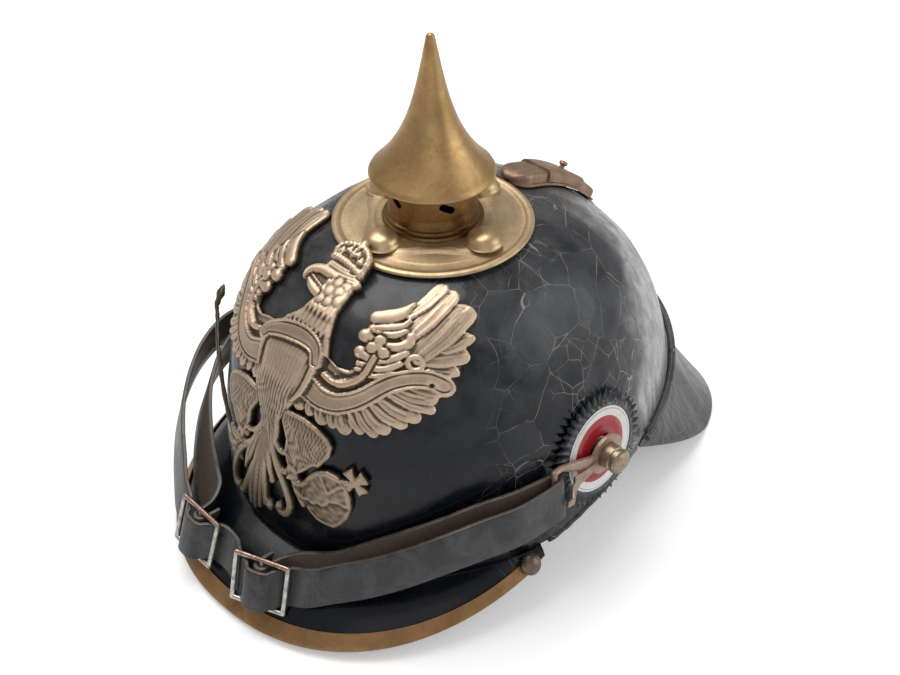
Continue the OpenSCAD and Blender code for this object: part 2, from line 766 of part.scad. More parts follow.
// Bulge of the strap through a buckle: behind its sides and over the eye on its middle bar
function bulge(p, turn) =
    let (run = buckle_len / 2 + 0.3, over = eye_r + strap_t + 0.6, back = wire_d / 2 + strap_t / 2 + 1.4)
    [for (q = [[run, back], [run * 0.56, -over * 0.2], [run * 0.34, -over * 0.85], [0, -over],
        [-run * 0.34, -over * 0.85], [-run * 0.56, -over * 0.2], [-run, back]])
        [p[0] + q[0] * cos(turn) - q[1] * sin(turn), p[1] + q[0] * sin(turn) + q[1] * cos(turn),
         p[2], buckle_lean, turn]];
// Turn of the strap round a bar at p, of radius r, from heading a, its top leaning towards h
function fold(p, z, r, a, turn, lean, h) =
    [for (k = [0:4]) [p[0] + r * cos(a + turn * k / 4), p[1] + r * sin(a + turn * k / 4), z, lean, h]];
function facing(path) = [for (q = path) let (p = carried(q)) [p[0], p[1], p[2], q[3], heading(p)]];
course = concat(
    facing([[14, -125.5, 24, 28]]), fold(buckle_l, buckle_l[2], eye_r, 175 + turn_l, 190, buckle_lean, turn_l),
    facing(left_inner), fold([bar_x, bar_y], strap_z, fold_r, 180, -180, lug_lean, bar_h),
    facing(left_outer), bulge(buckle_l, turn_l),
    facing([[-5.5, -129.5, 22.5, buckle_lean]]), bulge(buckle_r, turn_r),
    facing(right_outer), fold([-bar_x, bar_y], strap_z, fold_r, 180, -180, lug_lean, -bar_h),
    facing(right_inner), fold(buckle_r, buckle_r[2], eye_r, 175 + turn_r, 190, buckle_lean, turn_r),
    facing([[-25.5, -125.5, 24, 28]]));
// Rounded course through the same points
function smooth(p) = [for (i = [0:len(p) - 2])
    let (a = p[max(i - 1, 0)], b = p[i], c = p[i + 1], d = p[min(i + 2, len(p) - 1)]) each
    [b, (b + c) / 2 + (b - a + c - d) / 16], p[len(p) - 1]];

module chin_strap() {
    path = smooth(course);
    n = len(path);
    function at(i) = [path[i][0], path[i][1], path[i][2]];
    function edge(i, a, b) =
        let (t = at(min(i + 1, n - 1)) - at(max(i - 1, 0)))
        at(i) + a * strap_t / 2 * unit([-t[1], t[0], 0])
            + b * strap_w / 2 * lean_up(path[i][4], path[i][3]);
    color(leather)
        skin([for (b = [-1, 1]) [for (i = [0:n - 1]) edge(i, -1, b)]],
             [for (b = [-1, 1]) [for (i = [0:n - 1]) edge(i, 1, b)]]);
}

// Wire frame with a middle bar, leaning as the strap does
module buckle(p, turn) {
    half = [buckle_len / 2, strap_w / 2 + wire_d / 2 + 0.5];
    translate(p)
        rotate([0, 0, turn])
            rotate([-buckle_lean, 0, 0])
                color(steel) {
                    for (x = [-half[0], 0, half[0]])
                        translate([x, 0, -half[1]])
                            cylinder(h = 2 * half[1], d = wire_d, $fn = 24);
                    for (z = [-half[1], half[1]])
                        translate([-half[0], 0, z])
                            rotate([0, 90, 0])
                                cylinder(h = buckle_len, d = wire_d, $fn = 24);
                    for (x = [-half[0], half[0]], z = [-half[1], half[1]])
                        translate([x, 0, z])
                            sphere(d = wire_d, $fn = 24);
                }
}

module buckle_left() {
    buckle(buckle_l, turn_l);
}

module buckle_right() {
    buckle(buckle_r, turn_r);
}

// Sweatband and fingers

band_off = lip_off - brim_t - seat - flats;

module sweatband() {
    cols = 40;
    function grid(off) = [for (z = [1, band_h / 2, band_h]) [for (j = [0:cols - 1])
        let (u = 360 * j / cols) shell_pt(u, share(rim_at(u) + z), off)]];
    color(tan_leather)
        skin(grid(band_off), grid(band_off - lining_t), true);
}

module liner_fingers() {
    rows = 5;
    deep = 20;
    gap = 360 / fingers;
    function at(u, k, t) =
        let (s0 = share(rim_at(u) + band_h + 0.4), s1 = 0.93)
        shell_pt(u, s0 + (s1 - s0) * k / rows, band_off - t - deep * pow(k / rows, 2));
    function grid(c, t) = [for (k = [0:rows]) [for (x = [-1, 0, 1])
        at(c + x * gap * (0.46 - 0.14 * k / rows - (k == rows ? 0.14 : 0)), k, t)]];
    color(tan_leather)
        for (i = [0:fingers - 1])
            skin(grid(gap * i + gap / 2, 0), grid(gap * i + gap / 2, lining_t));
}

// Eagle plate

// The plate is drawn flat, across the brow and up a plane that leans back with it
eagle_lean = 40;
eagle_foot = [-1, 25];

// Row of rounded strokes from point to point, r at each point
module stroke(path, r) {
    for (i = [0:len(path) - 2])
        hull()
            for (k = [i, i + 1])
                translate(path[k])
                    circle(r = r[min(k, len(r) - 1)], $fn = 8);
}

module both() {
    children();
    mirror([1, 0])
        children();
}

wing_c = [26.5, 46.5];
primaries = 16;
// Heading of primary i, and the reach of its tip
function feather_a(i) = 74 - i * 184 / 15;
function feather_l(i) = 31 + 12 * pow((feather_a(i) + 110) / 184, 1.5);

module feather(i, r, root = 14) {
    a = feather_a(i);
    l = feather_l(i) - r;
    stroke([wing_c + root * [cos(a), sin(a)], wing_c + l * [cos(a), sin(a)]], [r * 0.6, r]);
}

scroll = [[17, 25.5], [24, 24.5], [34, 28.5], [40, 36.5], [45, 45.5], [51, 52], [58, 53]];

module wing_web() {
    polygon(concat([[10, 50], [14, 30]],
        [for (i = [primaries - 1:-1:0]) wing_c + (feather_l(i) - 4) * [cos(feather_a(i)), sin(feather_a(i))]],
        [[24, 66]]));
}

module coverts(r) {
    for (f = [[[36, 60], [33.5, 73]], [[33.5, 55], [28, 66]], [[33, 50], [25, 60]], [[31, 45], [22, 53]]])
        stroke(f, [r * 0.7, r]);
}

module shoulders(r) {
    stroke(scroll, [r]);
    stroke([[20, 32.5], [26, 32.5], [32, 36], [35.5, 43], [35, 50]], [r * 0.35]);
    for (p = [[32.6, 53.4], [37.4, 53.4], [35, 57]])
        translate(p)
            circle(r = r * 0.62, $fn = 8);
}

module body(g = 0) {
    stroke([[0, 66], [0.5, 60], [0, 47]], [8 + g, 7 + g, 12 + g]);
    stroke([[-1, 68], [-7.5, 67.5], [-12.5, 66.5]], [4.5 + g, 2.6 + g, 1 + g]);
    stroke([[-9, 63.6], [-2, 60.5]], [1.2 + g, 2.5 + g]);
    stroke([[0, 47], [0, 30], [0, 22], [0, 8]], [12 + g, 13 + g, 13 + g, 8 + g]);
}

module collar() {
    stroke([[-15, 37.5], [-9.5, 41], [0, 42.3], [9.5, 41], [15, 37.5]], [4.2]);
}

module crown_shape() {
    stroke([[-8, 71.5], [8, 71.5]], [1.8]);
    for (x = [-6.5, 0, 6.5])
        stroke([[x, 73], [x * 1.25, 79]], [2.4, 2.8]);
    stroke([[-8, 78], [-4, 82.5], [4, 82.5], [8, 78]], [1.4]);
    translate([0, 82])
        circle(r = 2.4, $fn = 12);
}

// Feathered thigh, shank and spread claws
module leg(r) {
    hull()
        for (p = [[5, 8, 3], [25, 5, 4.6], [16, -12, 2.4]])
            translate([p[0], p[1]])
                circle(r = p[2] + r, $fn = 8);
    stroke([[16, -12], [20, -19]], [2.2 + r]);
    for (c = [[13, -22], [19, -25], [26, -23]])
        stroke([[20, -18], c], [1.8 + r, 1 + r]);
}

orb_c = [32, -16];
module orb(r) {
    translate(orb_c)
        circle(r = r, $fn = 24);
    stroke([orb_c + [7, 9], orb_c + [13, 18]], [r * 0.11]);
    for (a = [60, 150])
        translate(orb_c + [11.5, 16])
            rotate(a)
                square([r * 0.9, r * 0.26], center = true);
}

module sceptre() {
    stroke([[-20, -25], [-61, 27.5]], [1.4]);
    stroke([[-61, 27.5], [-63, 31], [-62, 35], [-64, 39]], [1.6, 3, 2, 0.8]);
    stroke([[-20, -25], [-23, -29]], [1.4, 2.4]);
}

module tail(r) {
    stroke([[0, 4], [0, -18], [0, -36]], [5 + r, 3.4 + r, 5.4 + r]);
    both() {
        stroke([[4, -5], [8.5, -18], [14, -26], [14.5, -33], [9.5, -36.5]], [2 + r]);
        stroke([[2, -8], [7, -30], [9.5, -39]], [1.8 + r]);
        stroke([[5, -6], [11, -8.5]], [1.4 + r]);
        stroke([[6, -14], [12.5, -16]], [1.4 + r]);
    }
}

// Shell-shaped blank from which the stamping's shape is cut
module blank(low, high) {
    rows = 8;
    cols = 12;
    function grid(off) = [for (k = [0:rows]) [for (j = [0:cols])
        shell_pt(-148.7 + 120 * j / cols, sin(4 + 82 * k / rows), off)]];
    skin(grid(high), grid(low));
}

module stamped(low, high) {
    intersection() {
        rotate([90 - eagle_lean, 0, 0])
            translate([eagle_foot[0], eagle_foot[1], 60])
                linear_extrude(height = 130)
                    rotate(-eagle_tilt)
                        translate([0, -eagle_foot[1]])
                            children();
        blank(low, high);
    }
}

// Stamped brass eagle, wings spread, with orb and sceptre
module eagle_plate() {
    low = seat + 0.5;
    sheet = low + eagle_t;
    crown_low = 3;
    color(old_brass) {
        stamped(low, sheet) {
            both() {
                wing_web();
                leg(0.8);
            }
            body(1);
            tail(0.8);
            orb(13);
            sceptre();
        }
        stamped(low + 0.2, sheet + feather_h) {
            both()
                for (i = [0:primaries - 1])
                    feather(i, 3.1, 20);
            tail(-0.4);
        }
        stamped(low + 0.1, sheet + relief_h) {
            body();
            both() {
                shoulders(4.3);
                leg(0);
                coverts(3.2);
            }
            orb(11);
        }
        stamped(low + 0.3, sheet + relief_h + 1)
            collar();
        stamped(crown_low, crown_low + 2.4)
            crown_shape();
    }
}

// Loops on the back of the plate, pushed through the shell
loop_in = -shell_t - 5.5;

module eagle_loops() {
    color(brass)
        for (u = eye_u)
            on_shell(u, eye_z)
                difference() {
                    translate([0, 0, loop_in])
                        cylinder(h = 0.1 - loop_in, d = loop_d);
                    translate([0, 0, loop_in + 2.6])
                        rotate([90, 0, 0])
                            cylinder(h = 12, d = 2.6, center = true);
                }
}

// Leather pegs that lock the loops inside the shell
module loop_wedges() {
    color(tan_leather)
        for (u = eye_u)
            on_shell(u, eye_z)
                translate([0, 0, loop_in + 2.6])
                    rotate([90, 0, 0])
                        cylinder(h = 16, d = 2.2, center = true);
}

// The model stands on its hems and is centred on its length
front_y = min([for (row = trim_grid(trim_t), p = row) p[1]]);
rear_y = max([for (k = [0:1]) (guard_pt(0, 1) + guard_n(0, 1) * k * (seat + flats + spine_t))[1]]);
low_z = min(concat([for (row = trim_grid(trim_t), p = row) p[2]],
    [for (j = [0:guard_cols]) guard_under(-89 + 178 * j / guard_cols, 1)[2]]));
module placed() {
    translate([0, -(front_y + rear_y) / 2, -low_z])
        children();
}

placed() skull();
placed() front_visor();
placed() neck_guard();
placed() visor_trim();
placed() trim_studs();
placed() guard_welt();
placed() rear_spine();
placed() vent_track();
placed() vent_slide();
placed() vent_knob();
placed() spine_stud();
placed() base_plate();
placed() dome_studs();
placed() stud_washers();
placed() spike_neck();
placed() spike();
placed() eagle_plate();
placed() eagle_loops();
placed() loop_wedges();
placed() cockade_left();
placed() cockade_right();
placed() side_posts();
placed() post_nuts();
placed() lug_left();
placed() lug_right();
placed() chin_strap();
placed() buckle_left();
placed() buckle_right();
placed() sweatband();
placed() liner_fingers();
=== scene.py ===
import bpy
import numpy as np
from mathutils import Matrix, Vector


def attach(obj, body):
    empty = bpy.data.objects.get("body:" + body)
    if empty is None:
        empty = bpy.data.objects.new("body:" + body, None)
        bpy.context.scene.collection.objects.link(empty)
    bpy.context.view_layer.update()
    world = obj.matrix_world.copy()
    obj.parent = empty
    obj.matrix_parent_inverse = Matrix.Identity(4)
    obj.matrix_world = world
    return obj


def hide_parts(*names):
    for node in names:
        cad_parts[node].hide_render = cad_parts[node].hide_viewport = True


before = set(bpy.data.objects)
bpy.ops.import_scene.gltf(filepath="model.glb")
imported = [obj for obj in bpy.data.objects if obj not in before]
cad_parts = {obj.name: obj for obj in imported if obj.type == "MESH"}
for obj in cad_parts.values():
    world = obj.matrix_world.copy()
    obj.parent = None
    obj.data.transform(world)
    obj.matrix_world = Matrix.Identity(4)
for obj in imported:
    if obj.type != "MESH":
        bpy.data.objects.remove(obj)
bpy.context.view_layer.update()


# Table, camera and light
# The helmet stands on a pale table, seen from above its left brow, under a broad window to the left
# and a weaker one behind. The backdrop is the table's white.
drawing_shift = np.array([0.0, -4.72416, -0.095874])


def placed(p):
    """Millimetres of the drawing to metres in the row frame: the drawing's shift, then a thousandth."""
    return (np.asarray(p, float) + drawing_shift) / 1000


def aimed(eye, target, roll=0.0):
    """Matrix of a lens or lamp at eye that looks at target, both in metres, turned by roll about its own line."""
    back = np.asarray(eye, float) - np.asarray(target, float)
    back /= np.linalg.norm(back)
    right = np.cross([0, 0, 1], back)
    right /= np.linalg.norm(right)
    up = np.cross(back, right)
    across = right * np.cos(roll) + up * np.sin(roll)
    over = up * np.cos(roll) - right * np.sin(roll)
    m = np.eye(4)
    m[:3, 0], m[:3, 1], m[:3, 2], m[:3, 3] = across, over, back, eye
    return Matrix(m)


sight, distance = placed([3.3, 0.8, 78.5]), 0.672
azimuth, elevation, roll = np.radians([45, 38.06, -0.4])
toward = np.array([np.sin(azimuth) * np.cos(elevation), -np.cos(azimuth) * np.cos(elevation), np.sin(elevation)])
camera = bpy.data.objects.new("camera", bpy.data.cameras.new("camera"))
camera.data.lens = 56.76
camera.data.sensor_width = 36
camera.matrix_world = aimed(sight + toward * distance, sight, roll)
bpy.context.scene.collection.objects.link(camera)
bpy.context.scene.camera = camera
bpy.context.scene.view_settings.view_transform = "Standard"


def lamp(name, eye, size, watts, colour=(1, 1, 1)):
    """Square area lamp at eye, aimed at the helmet's middle."""
    light = bpy.data.lights.new(name, "AREA")
    light.size, light.energy, light.color = size, watts, colour
    holder = bpy.data.objects.new(name, light)
    holder.matrix_world = aimed(eye, [0, 0, 0.09])
    bpy.context.scene.collection.objects.link(holder)


lamp("window", (-0.45, 0.05, 1.55), 1.3, 18, (1.0, 0.985, 0.96))
lamp("back_window", (1.35, 1.05, 0.8), 1.4, 9, (0.96, 0.98, 1.0))
lamp("room", (1.2, -1.1, 0.9), 1.6, 3)

# the world is white to the eye and weaker on the helmet
world = bpy.data.worlds.new("studio")
bpy.context.scene.world = world
world.use_nodes = True
sky = world.node_tree.nodes["Background"]
rays = world.node_tree.nodes.new("ShaderNodeLightPath")
seen = world.node_tree.nodes.new("ShaderNodeMapRange")
room_light, seen_white = 0.36, 1.0
seen.inputs["To Min"].default_value = room_light
seen.inputs["To Max"].default_value = seen_white
world.node_tree.links.new(rays.outputs["Is Camera Ray"], seen.inputs["Value"])
world.node_tree.links.new(seen.outputs["Result"], sky.inputs["Strength"])
sky.inputs["Color"].default_value = (1, 1, 1, 1)


class Finish:
    """A named finish: one Principled shader and the nodes that feed it. Each call adds a node and gives its output.
    Sizes are in millimetres, and patterns sit on object coordinates, which are the row frame's own."""

    def __init__(self, name, metal=0.0, rough=0.5, **plain):
        """Starts a material whose shader has these plain values."""
        self.material = bpy.data.materials.new(name)
        self.material.use_nodes = True
        self.tree = self.material.node_tree
        self.shader = self.tree.nodes["Principled BSDF"]
        self.set(Metallic=metal, Roughness=rough, **plain)
        self.where = self.add("ShaderNodeTexCoord").outputs["Object"]

    def add(self, kind, **settings):
        """One node of that kind with its settings."""
        n = self.tree.nodes.new(kind)
        for key, value in settings.items():
            setattr(n, key, value)
        return n

    def feed(self, socket, value):
        """Links a socket to another, or sets it to a number, vector or colour."""
        if isinstance(value, bpy.types.NodeSocket):
            self.tree.links.new(value, socket)
        elif isinstance(value, (tuple, list)) and len(value) == 3 and socket.type == "RGBA":
            socket.default_value = (*value, 1)
        else:
            socket.default_value = value

    def set(self, **sockets):
        """Feeds the shader's sockets by their names."""
        for key, value in sockets.items():
            self.feed(self.shader.inputs[key.replace("_", " ")], value)

    def now(self, socket):
        """What feeds a socket of the shader so far."""
        return self.shader.inputs[socket].links[0].from_socket

    def noise(self, size, detail=4.0, rough=0.5, warp=0.0, at=None, out="Fac"):
        """Fractal noise whose largest lumps are size millimetres across."""
        n = self.add("ShaderNodeTexNoise")
        self.feed(n.inputs["Vector"], at or self.where)
        self.feed(n.inputs["Scale"], 1000 / size)
        self.feed(n.inputs["Detail"], detail)
        self.feed(n.inputs["Roughness"], rough)
        self.feed(n.inputs["Distortion"], warp)
        return n.outputs[out]

    def cells(self, size, feature="DISTANCE_TO_EDGE", at=None, out="Distance"):
        """Irregular cells size millimetres across, as the distance to their edges unless told otherwise."""
        n = self.add("ShaderNodeTexVoronoi", feature=feature)
        self.feed(n.inputs["Vector"], at or self.where)
        self.feed(n.inputs["Scale"], 1000 / size)
        return n.outputs[out]

    def ramp(self, fac, *stops):
        """Straight steps between stops, each a place and a grey or colour."""
        n = self.add("ShaderNodeValToRGB")
        line = n.color_ramp.elements
        while len(line) < len(stops):
            line.new(0.5)
        for e, (at, value) in zip(line, stops):
            e.position = at
            e.color = (value, value, value, 1) if np.isscalar(value) else (*value, 1)
        self.feed(n.inputs["Fac"], fac)
        return n.outputs["Color"]

    def rising(self, fac, start, end):
        """0 up to start, 1 from end on and a straight slope between."""
        return self.ramp(fac, (start, 0.0), (end, 1.0))

    def mix(self, fac, a, b, how="MIX"):
        """Colour a turning into b by fac."""
        n = self.add("ShaderNodeMix", data_type="RGBA", blend_type=how, clamp_factor=True)
        self.feed(n.inputs[0], fac)
        self.feed(n.inputs[6], a)
        self.feed(n.inputs[7], b)
        return n.outputs[2]

    def math(self, how, a, b=0.0, c=0.0):
        """Arithmetic of that kind on up to three numbers."""
        n = self.add("ShaderNodeMath", operation=how)
        for socket, value in zip(n.inputs, (a, b, c)):
            self.feed(socket, value)
        return n.outputs[0]

    def times(self, a, b, plus=None):
        """a times b, plus what is given."""
        return self.math("MULTIPLY", a, b) if plus is None else self.math("MULTIPLY_ADD", a, b, plus)

    def vector(self, how, a, b):
        """Arithmetic of that kind on two vectors."""
        n = self.add("ShaderNodeVectorMath", operation=how)
        self.feed(n.inputs[0], a)
        self.feed(n.inputs[1], b)
        return n.outputs["Value" if how in ("DOT_PRODUCT", "LENGTH", "DISTANCE") else "Vector"]

    def warped(self, size, reach):
        """Object coordinates pushed about by up to reach, over distances of about size."""
        push = self.vector("SUBTRACT", self.noise(size, 2, out="Color"), (0.5, 0.5, 0.5))
        return self.vector("ADD", self.where, self.vector("MULTIPLY", push, (reach * 2e-3,) * 3))

    def attribute(self, name):
        """A value kept on the mesh's own points."""
        return self.add("ShaderNodeAttribute", attribute_name=name).outputs["Fac"]

    def uv(self):
        """The two axes of the piece's own map."""
        split = self.add("ShaderNodeSeparateXYZ")
        self.feed(split.inputs[0], self.add("ShaderNodeUVMap", uv_map="course").outputs["UV"])
        return split.outputs["X"], split.outputs["Y"]

    def on_map(self, along, around):
        """The piece's own map as a vector, its axes stretched by these factors."""
        u, v = self.uv()
        n = self.add("ShaderNodeCombineXYZ")
        self.feed(n.inputs[0], self.times(u, along))
        self.feed(n.inputs[1], self.times(v, around))
        return n.outputs[0]

    def axis(self, name):
        """One of the object coordinates, in metres."""
        split = self.add("ShaderNodeSeparateXYZ")
        self.feed(split.inputs[0], self.where)
        return split.outputs[name]

    def bump(self, height, depth, under=None):
        """Bump whose height of 1 stands depth millimetres proud."""
        n = self.add("ShaderNodeBump")
        self.feed(n.inputs["Strength"], 1.0)
        self.feed(n.inputs["Distance"], depth * 1e-3)
        self.feed(n.inputs["Height"], height)
        if under:
            self.feed(n.inputs["Normal"], under)
        return n.outputs["Normal"]


cloth = Finish("white_table", rough=0.9, Base_Color=(0.93, 0.94, 0.95), Specular_IOR_Level=0.1)
glow = cloth.add("ShaderNodeLightPath").outputs["Is Camera Ray"]
cloth.set(Emission_Color=(1, 1, 1), Emission_Strength=cloth.times(glow, 0.3))
reach = 4.0
table_mesh = bpy.data.meshes.new("table")
corners = [(x * reach, y * reach, 0) for x, y in ((-1, -1), (1, -1), (1, 1), (-1, 1))]
table_mesh.from_pydata(corners, [], [(0, 1, 2, 3)])
table_mesh.materials.append(cloth.material)
table = bpy.data.objects.new("table", table_mesh)
bpy.context.scene.collection.objects.link(table)


# Leather shell
# The skull is one deep-drawn leather cap, lacquered black in many coats. Age has broken the lacquer
# into plates that curl at their edges, and the crown has an air hole under the spike.
half_w, brow_r, nape_r = 94.0, 108.0, 126.0
crown_z, rim_z, crown_lead = 148.0, 26.0, 6.0
plan_n, brow_n, nape_n = 2.15, 3.75, 2.95
rim_rise, shell_t, air_hole = 0.23, 2.6, 24.0


def spow(v, n):
    """Power that keeps the sign."""
    return np.sign(v) * np.abs(v) ** n


def shell_pt(u, s, off=0.0):
    """Point of the shell at heading u in degrees and share s of its height, standing off by off: a superellipse in
    plan whose radius falls with height as (1 - s^m)^(1/m), m growing from brow to nape."""
    u, s, off = np.broadcast_arrays(np.radians(np.asarray(u, float)), s, off)
    cu, su = np.cos(u), np.sin(u)
    m = brow_n + (nape_n - brow_n) * np.where(su > 0, su, 0) ** 2
    r = np.maximum(1 - s * s, 0) ** (1 / m)
    long = np.where(su < 0, brow_r, nape_r) + off
    return np.stack([(half_w + off) * r * spow(cu, 2 / plan_n),
                     long * r * spow(su, 2 / plan_n) - crown_lead * s,
                     rim_z + (crown_z - rim_z + off) * s], -1)


def share(z):
    """Share of the shell's height at z, 0 at the front rim and 1 at the crown."""
    return (np.asarray(z, float) - rim_z) / (crown_z - rim_z)


def rim_at(u):
    """Height of the shell's rim at heading u: level in front, then a straight rise with distance to the rear."""
    return rim_z + rim_rise * np.maximum(0, 0.95 * nape_r * spow(np.sin(np.radians(u)), 2 / plan_n) + 25)


def unit(v):
    """Vectors divided by their lengths."""
    return v / np.maximum(np.linalg.norm(v, axis=-1, keepdims=True), 1e-12)


def shell_n(u, s):
    """Outward normal of the shell, from two short steps along it."""
    a = shell_pt(np.asarray(u) + 0.5, s) - shell_pt(np.asarray(u) - 0.5, s)
    b = shell_pt(u, np.asarray(s) + 0.002) - shell_pt(u, np.asarray(s) - 0.002)
    return unit(np.cross(a, b))


def ripple(p, size, seed=0.0):
    """Soft unevenness between -1 and 1 at points p: three crossed sines of about that wavelength."""
    q = np.asarray(p) * (2 * np.pi / size)
    return (np.sin(q[..., 0] * 1.1 + q[..., 2] * 0.7 + seed) * np.cos(q[..., 1] * 0.9 - q[..., 2] * 0.6 + seed * 2.3)
            + 0.5 * np.sin(q[..., 1] * 1.9 + q[..., 0] * 1.3 + seed * 1.7) * np.sin(q[..., 2] * 2.1 + seed)) / 1.5


def made(name, points, faces, body, finish, swaps=(), sharp=35.0, uv=None):
    """Mesh object from points in millimetres and faces, turned to face outwards by the sign of its volume."""
    points = placed(points)
    faces = np.asarray(faces)
    p0, p1, p2 = points[faces[:, 0]], points[faces[:, 1]], points[faces[:, 2]]
    volume = np.einsum("ij,ij->", p0, np.cross(p1, p2))
    if faces.shape[1] == 4:
        volume += np.einsum("ij,ij->", p0, np.cross(p2, points[faces[:, 3]]))
    if volume < 0:
        faces = faces[:, ::-1]
    mesh = bpy.data.meshes.new(name)
    mesh.from_pydata(points.tolist(), [], faces.tolist())
    if uv is not None:
        layer = mesh.uv_layers.new(name="course")
        loops = np.zeros(len(mesh.loops), np.int32)
        mesh.loops.foreach_get("vertex_index", loops)
        layer.data.foreach_set("uv", np.asarray(uv, np.float32)[loops].ravel())
    mesh.shade_smooth()
    if sharp:
        mesh.set_sharp_from_angle(angle=np.radians(sharp))
    mesh.materials.append(finish.material)
    piece = bpy.data.objects.new(name, mesh)
    bpy.context.scene.collection.objects.link(piece)
    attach(piece, body)
    if swaps:
        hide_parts(*swaps)
    return piece


def loft(name, sections, body, finish, swaps=(), loop=False, sharp=35.0, uv=None):
    """Closed skin over a row of closed sections, an array of rows x points x 3. The row closes on itself if loop,
    and its ends are otherwise closed by a flat fan. Unless given, its map has the distance along, in millimetres,
    and the share of the way round."""
    rows, n = sections.shape[:2]
    i, j = np.meshgrid(np.arange(rows if loop else rows - 1), np.arange(n), indexing="ij")
    a, b = i * n + j, i * n + (j + 1) % n
    c, d = (i + 1) % rows * n + (j + 1) % n, (i + 1) % rows * n + j
    faces = np.stack([a, b, c, d], -1).reshape(-1, 4)
    points = sections.reshape(-1, 3)
    run = np.concatenate([[0], np.cumsum(np.linalg.norm(np.diff(sections.mean(1), axis=0), axis=1))])
    if uv is None:
        uv = np.stack(np.broadcast_arrays(run[:, None], np.arange(n)[None] / n), -1).reshape(-1, 2)
    if not loop:
        points = np.vstack([points, sections[0].mean(0), sections[-1].mean(0)])
        uv = np.vstack([uv, [[0, 0.5], [run[-1], 0.5]]])
        k, middle = np.arange(n), np.full(n, rows * n)
        after, last = (k + 1) % n, (rows - 1) * n
        faces = np.vstack([faces[:, [0, 1, 2]], faces[:, [0, 2, 3]], np.stack([k, middle, after], -1),
                           np.stack([last + after, middle + 1, last + k], -1)])
    return made(name, points, faces, body, finish, swaps, sharp, uv)


def lacquer(name, plates=24.0, curl=1.0, dust=0.5, crease=0.0):
    """Black lacquer over leather: plates of craquelure behind the eagle, each of its own grey, smooth dark lacquer in
    front, and grey dust and rub where the coat is thin, all over the grain of the leather. Crease is the width of
    the folds across the piece, where it has them."""
    f = Finish(name, rough=0.36, Coat_Weight=0.24, Coat_Roughness=0.13, Specular_IOR_Level=0.25)

    # the rear of the helmet, where the lacquer has broken, and two meshes of cracks that cross there
    rear = f.rising(f.times(f.times(f.noise(50, 2), 0.05, f.axis("Y")), 12.0, 0.68), 0.25, 0.75)
    bent = f.warped(30, 5.0)
    wide = f.rising(f.cells(plates, at=bent), 0.0, 0.009)
    crossing = f.rising(f.cells(plates * 0.62, at=f.warped(22, 5.0)), 0.0, 0.012)
    crossing = f.mix(f.rising(f.noise(38, 2), 0.44, 0.52), (1, 1, 1), crossing)
    sound = f.mix(rear, (1, 1, 1), f.mix(1.0, wide, crossing, "MULTIPLY"))
    crazed = f.times(f.ramp(f.noise(46, 3), (0.56, 0.0), (0.68, 0.8)), rear)
    fine = f.mix(crazed, (1, 1, 1), f.rising(f.cells(plates * 0.3, at=bent), 0.0, 0.05))

    # each plate leans its own way about its middle
    own = f.cells(plates, "F1", bent, "Color")
    arm = f.vector("SUBTRACT", bent, f.cells(plates, "F1", bent, "Position"))
    lean = f.times(f.vector("DOT_PRODUCT", f.vector("SUBTRACT", own, (0.5, 0.5, 0.5)), arm), 1000.0)

    # colour: lacquer, grey by plate and rub, fine scratches, and pale leather in the cracks
    rub = f.times(f.rising(f.noise(33, 6, 0.62, 0.6), 0.48, 0.74), f.times(rear, 0.7, 0.3))
    tone = f.times(f.times(f.vector("DOT_PRODUCT", own, (1, 0, 0)), 0.75, -0.12), rear)
    scratch = f.rising(f.noise(5.5, 8, 0.75, 2.2), 0.60, 0.66)
    grey = f.mix(f.times(f.math("ADD", rub, tone), dust), (0.0030, 0.0042, 0.0066), (0.070, 0.073, 0.080))
    grey = f.mix(f.times(scratch, 0.3 * dust), grey, (0.12, 0.115, 0.11))
    leather = f.ramp(f.noise(11, 3), (0.38, (0.003, 0.003, 0.003)), (0.52, (0.42, 0.41, 0.40)))
    f.set(Base_Color=f.mix(f.math("SUBTRACT", 1.0, sound), grey, leather))
    dull = f.math("ADD", f.times(rub, dust), f.times(f.noise(8, 5), 0.35))
    f.set(Roughness=f.ramp(dull, (0.1, 0.22), (0.75, 0.50)))

    relief = f.bump(f.noise(16, 3, 0.5, 0.8), 0.42 * curl, f.bump(f.noise(1.1, 3, 0.6), 0.04))
    relief = f.bump(f.times(lean, rear), 0.11 * curl, relief)
    relief = f.bump(f.mix(1.0, sound, fine, "MULTIPLY"), 0.16, relief)
    if crease:
        folds = f.noise(1000, 5, 0.5, 0.4, f.on_map(1 / crease, 2.0))
        relief = f.bump(f.ramp(folds, (0.36, 0.0), (0.5, 1.0), (0.64, 0.15)), 0.35, relief)
    f.set(Normal=relief)
    return f


def shell_lacquer():
    """The shell's lacquer, paler towards the crown with dust and painted light from above, and with a painted sheen,
    pale grey in upright streaks, on the left rear side.
    """
    f = lacquer("black_lacquered_leather", plates=20.0, dust=0.55)
    # painted sheen: pale grey upright streaks on the left rear side, where the lacquer would reflect the bright table
    # at a grazing angle
    behind = f.times(f.noise(30, 3), 0.05, f.times(f.axis("Z"), -0.32))
    painted_sheen = f.rising(f.math("ADD", f.axis("Y"), behind), 0.030, 0.046)
    sheen_side = f.ramp(f.axis("X"), (0.012, 0.07), (0.058, 0.85))
    streak = f.noise(1.0, 4, 0.55, 0.4, f.vector("MULTIPLY", f.warped(26, 6), (0.22, 0.19, 0.03)))
    sheen_streaks = f.ramp(streak, (0.30, 0.25), (0.66, 1.0))
    patchy = f.ramp(f.noise(19, 5, 0.6), (0.36, 0.1), (0.62, 0.6))
    # paler towards the crown: partly dust, partly painted light from above
    settled = f.times(f.rising(f.axis("Z"), 0.090, 0.132), patchy)
    dust_and_light = f.mix(settled, f.now("Base Color"), (0.085, 0.087, 0.09))
    # the painted sheen is laid as pale grey over the dusty, lit colour
    f.set(Base_Color=f.mix(f.times(f.times(painted_sheen, sheen_streaks), sheen_side), dust_and_light, (0.54, 0.54, 0.53)))
    f.set(Normal=f.bump(f.times(streak, painted_sheen), 0.25, f.now("Normal")))
    return f


